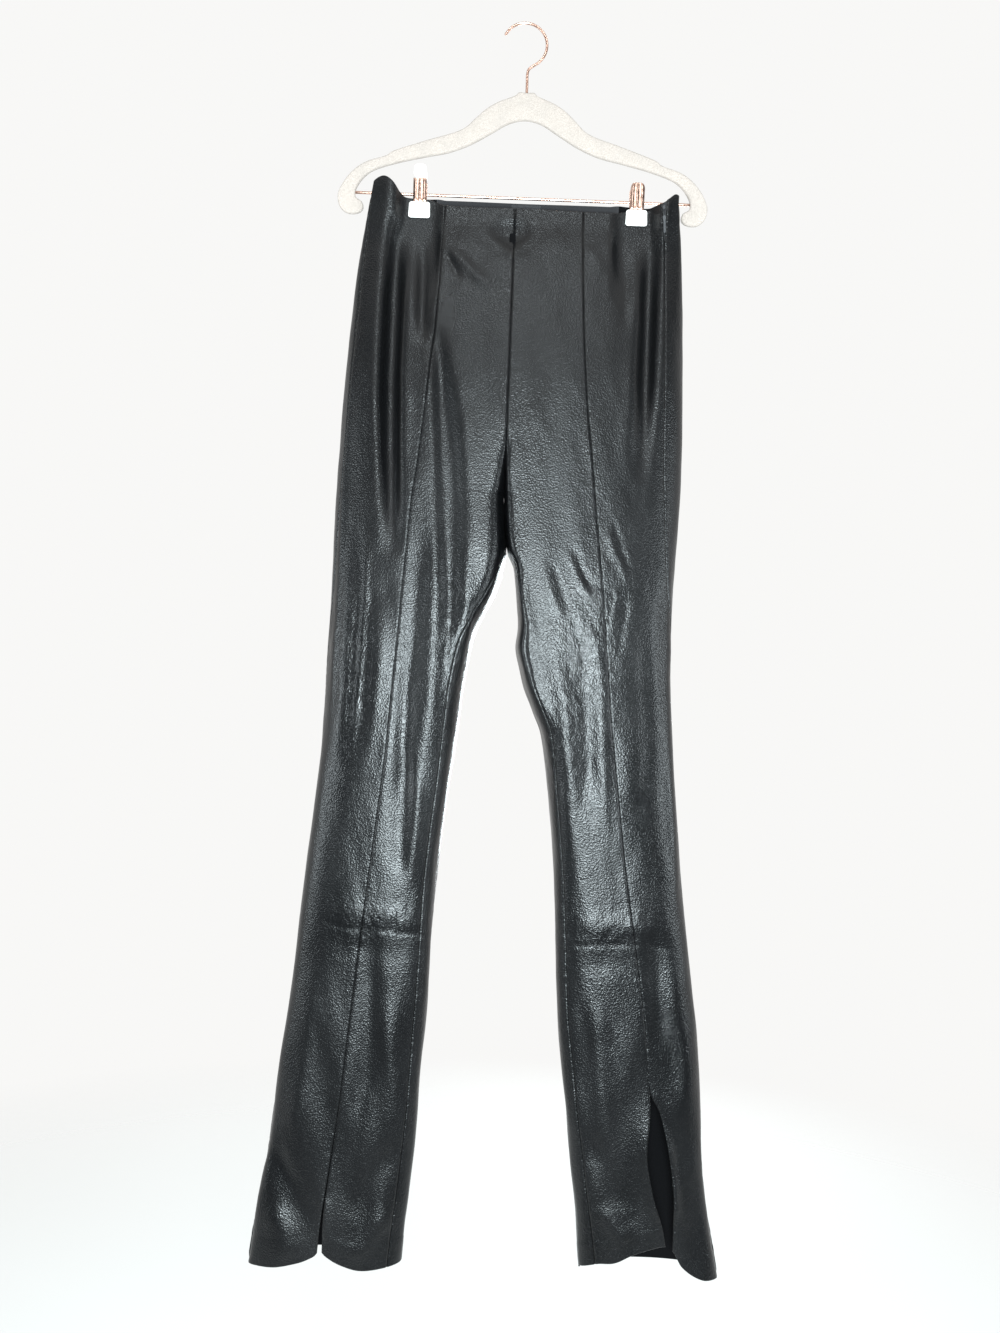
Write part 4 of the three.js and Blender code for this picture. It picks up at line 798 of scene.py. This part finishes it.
edge_a = side_panel["base"][zip_rows, last]
edge_b = back_panel["base"][zip_rows, first]
zip_normal = side_panel["normal"][zip_rows, last] + back_panel["normal"][zip_rows, first]
zip_normal /= np.linalg.norm(zip_normal, axis=1, keepdims=True)
TOOTH_PITCH, TOOTH_SIZE, SLIDER_Z = 1.1, np.array([0.65, 0.4, 0.36]), -219.0
TEETH_TOP, TEETH_FOOT = -204, -262
# the teeth are closed below the slider and part over a height above it
TOOTH_APART, TOOTH_PARTED, PARTING = 0.55, 1.6, 14
tooth_points, tooth_faces = [], []
corner = np.array([(a, b, c) for a in (-1, 1) for b in (-1, 1) for c in (-1, 1)], float)
box_faces = [(0, 1, 3, 2), (4, 6, 7, 5), (0, 4, 5, 1), (2, 3, 7, 6), (0, 2, 6, 4), (1, 5, 7, 3)]
zip_z = LEVELS[zip_rows]
for height in np.arange(TEETH_TOP, TEETH_FOOT, -TOOTH_PITCH):
    for side in (-1, 1):
        a, b, n = (np.array([np.interp(-height, -zip_z, v[:, k]) for k in range(3)])
                   for v in (edge_a, edge_b, zip_normal))
        across = (b - a) / np.linalg.norm(b - a)
        up = np.cross(across, n)
        apart = TOOTH_APART + TOOTH_PARTED * soft((height - SLIDER_Z) / PARTING)
        middle = (a + b) / 2 + across * side * apart - n * (TAPE_UNDER - TOOTH_SIZE[1])
        middle = middle + up * (TOOTH_PITCH / 4 * side)
        frame_of = np.stack([across, n, up])
        base_index = 8 * len(tooth_points)
        tooth_points.append(middle + (corner * TOOTH_SIZE) @ frame_of)
        tooth_faces += [tuple(base_index + v for v in f) for f in box_faces]
teeth = make_mesh("zip_teeth", np.concatenate(tooth_points), tooth_faces, "trousers")
teeth.data.polygons.foreach_set("use_smooth", np.zeros(len(teeth.data.polygons), bool))


def metal_material(name, color, roughness):
    """Plated metal with fine handling marks and slightly uneven polish."""
    material, tree, shader = new_material(name, color, roughness, 1.0)
    where = object_position(tree)
    cloud = noise_at(tree, where, 180.0, 4.0)
    polish = spread(tree, cloud, 0.3, 0.7, roughness * 0.75, roughness * 1.35)
    tree.links.new(polish, shader.inputs["Roughness"])
    marks = noise_at(tree, scaled(tree, where, (900.0, 900.0, 75.0)), 1.0, 3.0)
    add_bumps(tree, shader, (marks, 0.15, 0.0002))
    return material


SILVER = metal_material("silver_plate", (0.075, 0.075, 0.078), 0.55)
BLACK_TEETH, _, _ = new_material("black_teeth", (0.012, 0.012, 0.013), 0.4)
teeth.data.materials.append(BLACK_TEETH)
for node_name in ("zip_slider", "zip_pull", "waist_hook"):
    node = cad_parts[node_name]
    node.data.materials.clear()
    node.data.materials.append(SILVER)

# ---- hanger ----
# A slim moulded body covered in pale flock, with a curl at the end of each arm. A rose-gold wire hook stands
# in its neck and a rose-gold bar is pressed into the curls.
ARM_OUTLINE = np.array([
    (9, -78), (12, -81), (31, -89), (44, -97), (55, -107), (70, -121), (112, -136), (150, -150),
    (155, -154), (178, -162), (192, -172), (203, -186), (209, -201), (206, -214), (197, -221),
    (184, -220), (179.5, -215), (181, -208), (188, -203), (189, -196), (184, -185), (172, -173),
    (146, -163), (110, -154), (84, -148), (60, -138), (38, -125), (18, -113)], float)
NECK_TOP, ARCH_TOP, ARM_THICK, ARM_ROUND = -78.0, -109.0, 7.0, 2.4
# points of the outline: how finely each span is drawn, the tip of a curl and the top of the arch
SPAN_STEPS, TIP_POINT, ARCH_POINT = 6, 16, 29


def rounded_path(points, steps, closed):
    """Smooth curve through points: a Catmull-Rom spline whose knots are spaced by the root of the distance
    between points, so that close points never make it loop."""
    count = len(points)
    spans = count if closed else count - 1
    t = np.linspace(0, 1, steps, endpoint=False)[:, None]
    pieces = []
    for i in range(spans):
        pick = [(i + k) % count if closed else min(max(i + k, 0), count - 1) for k in (-1, 0, 1, 2)]
        a, b, c, d = points[pick]
        before, span, after = (max(1e-3, np.linalg.norm(q - p)) ** 0.5 for p, q in ((a, b), (b, c), (c, d)))
        leave = ((b - a) / before - (c - a) / (before + span) + (c - b) / span) * span
        arrive = ((c - b) / span - (d - b) / (span + after) + (d - c) / after) * span
        pieces.append(b + leave * t + (3 * (c - b) - 2 * leave - arrive) * t ** 2
                      + (2 * (b - c) + leave + arrive) * t ** 3)
    path = np.concatenate(pieces)
    return path if closed else np.concatenate([path, points[-1:]])


outline = np.concatenate([[(0, NECK_TOP)], ARM_OUTLINE, [(0, ARCH_TOP)], ARM_OUTLINE[::-1] * [-1, 1]])
outline = rounded_path(outline, SPAN_STEPS, closed=True)
ahead = np.roll(outline, -1, 0) - np.roll(outline, 1, 0)
inward = np.stack([ahead[:, 1], -ahead[:, 0]], 1) / np.linalg.norm(ahead, axis=1, keepdims=True)
rings = []
for turn in np.radians([90, 68, 45, 22, 0, -22, -45, -68, -90]):
    ring = outline + inward * ARM_ROUND * (1 - np.cos(turn))
    depth = -np.sin(turn) * ARM_ROUND - np.sign(turn) * (ARM_THICK / 2 - ARM_ROUND)
    rings.append(np.stack([ring[:, 0], np.full(len(ring), depth), ring[:, 1]], 1))
count = len(outline)
tip, half_way = SPAN_STEPS * TIP_POINT, SPAN_STEPS * ARCH_POINT


def zipped(upper, lower, ring):
    """Triangles between two rows of points that run side by side: always step along the shorter one."""
    def reached(row):
        steps = np.linalg.norm(np.diff(ring[row], axis=0), axis=1)
        return np.concatenate([[0], np.cumsum(steps)]) / steps.sum()
    far_a, far_b = reached(upper), reached(lower)
    a = b = 0
    triangles = []
    while a < len(upper) - 1 or b < len(lower) - 1:
        if b == len(lower) - 1 or (a < len(upper) - 1 and far_a[a + 1] <= far_b[b + 1]):
            triangles.append((upper[a], upper[a + 1], lower[b]))
            a += 1
        else:
            triangles.append((upper[a], lower[b + 1], lower[b]))
            b += 1
    return triangles


hanger_faces = []
for side, upper, lower in (
        (1, np.arange(0, tip + 1), np.arange(half_way, tip - 1, -1)),
        (-1, count - np.arange(0, tip + 1), np.arange(half_way, count - tip + 1))):
    upper, lower = upper % count, lower % count
    for a, b, c in zipped(upper, lower, rings[0]):
        front = (a, b, c) if side > 0 else (a, c, b)
        hanger_faces.append(tuple(int(v) for v in front[::-1]))
        hanger_faces.append(tuple(int(v) + count * (len(rings) - 1) for v in front))
for r in range(len(rings) - 1):
    for c in range(count):
        d = (c + 1) % count
        hanger_faces.append((r * count + c, r * count + d, (r + 1) * count + d, (r + 1) * count + c))
hanger = make_mesh("flocked_hanger", np.concatenate(rings), hanger_faces, "trousers")


def flock_material():
    """Pale warm-grey flock: short dense fibres with dusty patches and darker specks."""
    material, tree, shader = new_material("pale_flock", (0.36, 0.35, 0.335), 1.0)
    where = object_position(tree)
    speck = noise_at(tree, where, 900.0, 5.0, Roughness=0.8)
    worn = noise_at(tree, where, 60.0, 4.0)
    fibre = mixed(tree, spread(tree, speck, 0.38, 0.62, 0, 1), (0.262, 0.226, 0.200), (0.468, 0.414, 0.378))
    dusty = mixed(tree, spread(tree, worn, 0.4, 0.75, 0, 0.45), fibre, (0.30, 0.272, 0.25))
    tree.links.new(dusty, shader.inputs["Base Color"])
    add_bumps(tree, shader, (speck, 0.8, 0.0008))
    shader.inputs["Sheen Weight"].default_value = 0.1
    shader.inputs["Sheen Roughness"].default_value = 0.6
    return material


hanger.data.materials.append(flock_material())
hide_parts("hanger_body")


def rod(name, path, radius):
    """Round rod along a path in the x-z plane, with domed ends: a ring of points about each path point."""
    sides = 20
    along = np.gradient(path, axis=0)
    along /= np.linalg.norm(along, axis=1, keepdims=True)
    aside = np.stack([-along[:, 1], along[:, 0]], 1)
    dome = np.radians([90, 60, 30])
    centres = np.concatenate([
        path[:1] - along[:1] * radius * np.sin(dome)[:, None], path,
        path[-1:] + along[-1:] * radius * np.sin(dome[::-1])[:, None]])
    sideways = np.concatenate([np.repeat(aside[:1], 3, 0), aside, np.repeat(aside[-1:], 3, 0)])
    radii = np.concatenate([radius * np.cos(dome), np.full(len(path), radius), radius * np.cos(dome[::-1])])
    radii = np.maximum(radii, radius * 0.05)[:, None, None]
    turn = np.linspace(0, 2 * np.pi, sides, endpoint=False)
    ring = np.cos(turn)[None, :, None] * sideways[:, None, :]
    flat = centres[:, None, :] + ring * radii
    depth = -np.sin(turn)[None, :] * radii[:, :, 0]
    points = np.stack([flat[..., 0], depth, flat[..., 1]], -1)
    rows = len(points)
    faces = [tuple(range(sides)), tuple(range(rows * sides - 1, (rows - 1) * sides - 1, -1))]
    for r in range(rows - 1):
        for c in range(sides):
            d = (c + 1) % sides
            faces.append((r * sides + c, (r + 1) * sides + c, (r + 1) * sides + d, r * sides + d))
    return make_mesh(name, points.reshape(-1, 3), faces, "trousers")


ROSE_GOLD = metal_material("rose_gold_plate", (0.60, 0.39, 0.31), 0.26)
HOOK_RADIUS, HOOK_WIRE = 25.0, 1.5
hook_turn = np.radians(np.linspace(-48, 152, 11))
hook_centre = np.array([-HUNG_OFFSET, -HOOK_RADIUS + HOOK_WIRE])
hook_line = np.concatenate([
    [(0, NECK_TOP + SEAM_GAP), (0, -66), (0, -56), (1.6, -50.5)],
    hook_centre + HOOK_RADIUS * np.stack([np.cos(hook_turn), np.sin(hook_turn)], 1)])
hook = rod("hook_wire", rounded_path(hook_line, 7, closed=False), HOOK_WIRE)
hook.data.materials.append(ROSE_GOLD)
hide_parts("hanger_hook")

BAR_Z, BAR_RADIUS, BAR_HALF = -197.0, 1.6, 188.4
bar_line = np.stack([np.linspace(-BAR_HALF, BAR_HALF, 40), np.full(40, BAR_Z)], 1)
bar = rod("clip_bar", bar_line, BAR_RADIUS)
bar.data.materials.append(ROSE_GOLD)
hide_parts("hanger_bar")

# ---- clips ----
# Each clip is a pair of ribbed pressed plates on a wire spring that straddles the bar, with white rubber
# pads for jaws. The right clip also keeps white rubber caps on its handles.

def soft_block(name, size, radii, place, tilt=0.0, flare=0.0):
    """Block with rounded edges: each direction of a sphere, scaled by the edge radii, is moved to the
    block's nearest corner. flare widens it towards the bottom and tilt turns it about x."""
    up, around = 17, 32
    polar = (np.arange(1, up) / up * np.pi)[:, None]
    turn = ((np.arange(around) + 0.5) / around * 2 * np.pi)[None, :]
    ball = np.stack([np.sin(polar) * np.cos(turn), np.sin(polar) * np.sin(turn),
                     np.cos(polar) + 0 * turn], -1).reshape(-1, 3)
    ball = np.concatenate([ball, [(0, 0, 1), (0, 0, -1)]])
    core = np.array(size) / 2 - np.array(radii)
    points = np.sign(np.where(np.abs(ball) < 1e-9, 0, ball)) * core + ball * np.array(radii)
    points[:, 0] *= 1 - flare * points[:, 2] / size[2]
    c, s = np.cos(tilt), np.sin(tilt)
    points = points @ np.array([(1, 0, 0), (0, c, s), (0, -s, c)]) + np.array(place)
    faces = []
    rows, top, bottom = up - 1, len(points) - 2, len(points) - 1
    for c in range(around):
        d = (c + 1) % around
        faces.append((top, c, d))
        faces.append((bottom, (rows - 1) * around + d, (rows - 1) * around + c))
        for r in range(rows - 1):
            faces.append((r * around + c, (r + 1) * around + c, (r + 1) * around + d, r * around + d))
    return make_mesh(name, points, faces, "trousers")


def rubber_material():
    """Soft white rubber, slightly glossy and faintly soiled."""
    material, tree, shader = new_material("white_rubber", (0.82, 0.82, 0.80), 0.5)
    where = object_position(tree)
    cloud = noise_at(tree, where, 140.0, 4.0)
    soiled = mixed(tree, spread(tree, cloud, 0.35, 0.7, 0, 1), (0.86, 0.86, 0.85), (0.74, 0.73, 0.70))
    tree.links.new(soiled, shader.inputs["Base Color"])
    add_bumps(tree, shader, (cloud, 0.2, 0.0004))
    return material


RUBBER = rubber_material()
JAW_TOP, JAW_BOTTOM, JAW_WIDTH, JAW_FACE, PAD_THICK = -206.0, -224.0, 24.0, 1.95, 3.0
HANDLE_TOP = {"right": -181.0, "left": -177.0}
HANDLE_OUT, HANDLE_LEAN, PLATE_KNEE, PLATE_KNEE_OUT = 1.2, 0.2, -202.0, 0.3
PLATE, PLATE_HALF, RIB_HEIGHT = 1.0, 8.0, 0.45
PLATE_TIP, TIP_SHARE, END_FADE, EDGE_FALL, BARE_PLATE_HALF = 7.0, 0.45, 3, 0.35, 7.5
CAP_TOP, CAP_WIDTH, CAP_THICK = -166.0, 14.0, 2.4
PAD_RADII, PAD_FLARE, CAP_RADII = (3.0, 1.1, 3.0), 0.05, (5.0, 1.1, 5.0)
foot_y = JAW_FACE + PAD_THICK / 2
for name, clip_x in (("right", CLIP_RIGHT_X), ("left", CLIP_LEFT_X)):
    top = HANDLE_TOP[name]
    for face_name, sign in (("front", -1), ("back", 1)):
        stem = f"clip_{name}_{face_name}"
        line = np.array([
            (foot_y, JAW_TOP + SEAM_GAP), (foot_y + PLATE_KNEE_OUT, PLATE_KNEE), (foot_y + HANDLE_OUT, BAR_Z),
            (foot_y + HANDLE_OUT + (top - BAR_Z) * HANDLE_LEAN, top)])
        reach_along = np.concatenate([[0], np.cumsum(np.hypot(*np.diff(line, axis=0).T))])
        steps = np.linspace(0, 1, 40) ** 0.9 * reach_along[-1]
        profile = np.stack([np.interp(steps, reach_along, line[:, k]) for k in (0, 1)], 1)
        ahead = np.gradient(profile, axis=0)
        out = np.stack([ahead[:, 1], -ahead[:, 0]], 1) / np.linalg.norm(ahead, axis=1, keepdims=True)
        u = np.linspace(-1, 1, 49)
        end_gap = np.clip((reach_along[-1] - steps) / PLATE_TIP, 0, 1)
        half_width = PLATE_HALF * (TIP_SHARE + (1 - TIP_SHARE) * np.sqrt(1 - (1 - end_gap) ** 2))
        if name == "right":
            half_width = np.full(len(steps), BARE_PLATE_HALF)
        ends = soft(steps / END_FADE) * soft((reach_along[-1] - steps) / END_FADE)
        rib = RIB_HEIGHT * ends[:, None] * (0.5 + 0.5 * np.cos(u * 3 * np.pi))[None, :] ** 2
        edge_fall = EDGE_FALL * np.abs(u)[None, :] ** 10
        plates = []
        for depth in (PLATE / 2, -PLATE / 2):
            lift = depth + (rib - edge_fall if depth > 0 else rib * 0)
            y = sign * (profile[:, :1] + out[:, :1] * lift)
            z = profile[:, 1:] + out[:, 1:] * lift
            plates.append(np.stack([clip_x + u[None, :] * half_width[:, None], y, z], -1))
        flat_wall(f"{stem}_ribbed", *plates, ROSE_GOLD, "rose_gold", f"{stem}_plate")
        pad = soft_block(f"{stem}_jaw", (JAW_WIDTH, PAD_THICK, JAW_TOP - JAW_BOTTOM), PAD_RADII,
                         (clip_x, sign * (JAW_FACE + PAD_THICK / 2), (JAW_TOP + JAW_BOTTOM) / 2),
                         flare=PAD_FLARE)
        pad.data.materials.append(RUBBER)
        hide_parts(f"{stem}_pad")
        if name == "right":
            middle = (top + CAP_TOP + SEAM_GAP) / 2
            lean = foot_y + HANDLE_OUT + (middle - BAR_Z) * HANDLE_LEAN
            cap = soft_block(f"{stem}_sleeve", (CAP_WIDTH, CAP_THICK, CAP_TOP - top - SEAM_GAP), CAP_RADII,
                             (clip_x, sign * lean, middle), tilt=-sign * np.arctan(HANDLE_LEAN))
            cap.data.materials.append(RUBBER)
            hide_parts(f"{stem}_cap")
    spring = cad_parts[f"clip_{name}_spring"]
    spring.data.materials.clear()
    spring.data.materials.append(SILVER)

# ---- floor, lights and camera ----
# A pale floor well below the hems, a pale surround, and soft lights in front, at the sides, above and behind.
# Dark cards that only show in reflections give the glossy cloth something to mirror.
FLOOR_Z, FLOOR_RADIUS, FLOOR_SIDES, FLOOR_FADE = -1.75, 2.6, 96, 1.85
turn = np.linspace(0, 2 * np.pi, FLOOR_SIDES, endpoint=False)
floor_mesh = bpy.data.meshes.new("floor")
rim = np.stack([FLOOR_RADIUS * np.cos(turn), FLOOR_RADIUS * np.sin(turn), np.full(FLOOR_SIDES, FLOOR_Z)], 1)
floor_mesh.from_pydata(rim.tolist(), [], [tuple(range(FLOOR_SIDES))])
floor = bpy.data.objects.new("floor", floor_mesh)
bpy.context.scene.collection.objects.link(floor)
material, tree, shader = new_material("pale_floor", (0.60, 0.60, 0.59), 0.9)
where = object_position(tree)
away = add_node(tree, "ShaderNodeVectorMath", {"operation": "LENGTH"}, in0=where).outputs["Value"]
clear = add_node(tree, "ShaderNodeBsdfTransparent").outputs[0]
fade = spread(tree, away, FLOOR_FADE, FLOOR_RADIUS, 0, 1)
blend = add_node(tree, "ShaderNodeMixShader", in0=fade, in1=shader.outputs[0], in2=clear)
tree.links.new(blend.outputs[0], tree.nodes["Material Output"].inputs["Surface"])
floor.data.materials.append(material)

bpy.context.scene.view_settings.view_transform = "Standard"
world = bpy.context.scene.world or bpy.data.worlds.new("world")
bpy.context.scene.world = world
world.use_nodes = True
world.node_tree.nodes["Background"].inputs["Color"].default_value = (1.0, 0.997, 0.985, 1)
world.node_tree.nodes["Background"].inputs["Strength"].default_value = 0.94


def area_light(name, place, aim, size, power, color):
    """Rectangular soft light of size (width, height) in metres, turned to face a point."""
    light = bpy.data.lights.new(name, "AREA")
    light.shape = "RECTANGLE"
    light.size, light.size_y = size
    light.energy = power
    light.color = color
    holder = bpy.data.objects.new(name, light)
    bpy.context.scene.collection.objects.link(holder)
    holder.location = place
    holder.rotation_euler = (Vector(aim) - Vector(place)).to_track_quat("-Z", "Y").to_euler()


def reflected_card(name, corners, glow):
    """Flat card seen only in reflections, so that glossy surfaces have darker and paler parts to mirror."""
    mesh = bpy.data.meshes.new(name)
    mesh.from_pydata(corners, [], [(0, 1, 2, 3)])
    card = bpy.data.objects.new(name, mesh)
    bpy.context.scene.collection.objects.link(card)
    material = bpy.data.materials.new(name)
    material.use_nodes = True
    nodes = material.node_tree.nodes
    nodes.remove(nodes["Principled BSDF"])
    emission = add_node(material.node_tree, "ShaderNodeEmission", Color=(*glow, 1), Strength=1.0)
    material.node_tree.links.new(emission.outputs[0], nodes["Material Output"].inputs["Surface"])
    mesh.materials.append(material)
    card.visible_camera = card.visible_diffuse = card.visible_shadow = False
    card.visible_transmission = card.visible_volume_scatter = False


DARK, DIM = (0.035, 0.036, 0.04), (0.05, 0.052, 0.056)
COOL, COOL_KEY = (0.86, 0.96, 1.0), (0.84, 0.96, 1.0)
reflected_card("card_right", [(-2.0, -4, -3), (-2.0, -0.3, -3), (-2.0, -0.3, 1), (-2.0, -4, 1)], DARK)
reflected_card("card_left", [(2.0, -4, -3), (2.0, -0.3, -3), (2.0, -0.3, 1), (2.0, -4, 1)], DARK)
reflected_card("card_low", [(-2.0, -4, -1.7), (2.0, -4, -1.7), (2.0, -0.35, -1.7), (-2.0, -0.35, -1.7)], DIM)
reflected_card("card_front_low", [(-2, -4, -3), (2, -4, -3), (2, -4, -0.45), (-2, -4, -0.45)], DARK)
area_light("front_key", (0.05, -1.75, -0.88), (0, 0, -0.78), (0.44, 0.66), 72, COOL_KEY)
area_light("strip_right", (-1.50, -0.65, -0.80), (0, 0, -0.72), (0.20, 0.80), 13, COOL)
area_light("strip_left", (1.50, -0.65, -0.80), (0, 0, -0.72), (0.20, 0.80), 13, COOL)
area_light("above", (-0.03, -1.25, 0.74), (-0.01, 0, -0.24), (0.24, 0.24), 5, COOL)
area_light("behind", (0.35, 2.1, -0.85), (0, 0, -0.78), (0.5, 0.8), 26, COOL)

camera = bpy.data.cameras.new("camera")
camera.sensor_fit = "VERTICAL"
camera.sensor_height = 36.0
camera.lens = 34.65
camera_holder = bpy.data.objects.new("camera", camera)
bpy.context.scene.collection.objects.link(camera_holder)
camera_holder.location = (-0.0013, -1.45, -0.7262)
camera_holder.rotation_euler = (np.pi / 2, np.radians(-2.2), 0)
bpy.context.scene.camera = camera_holder
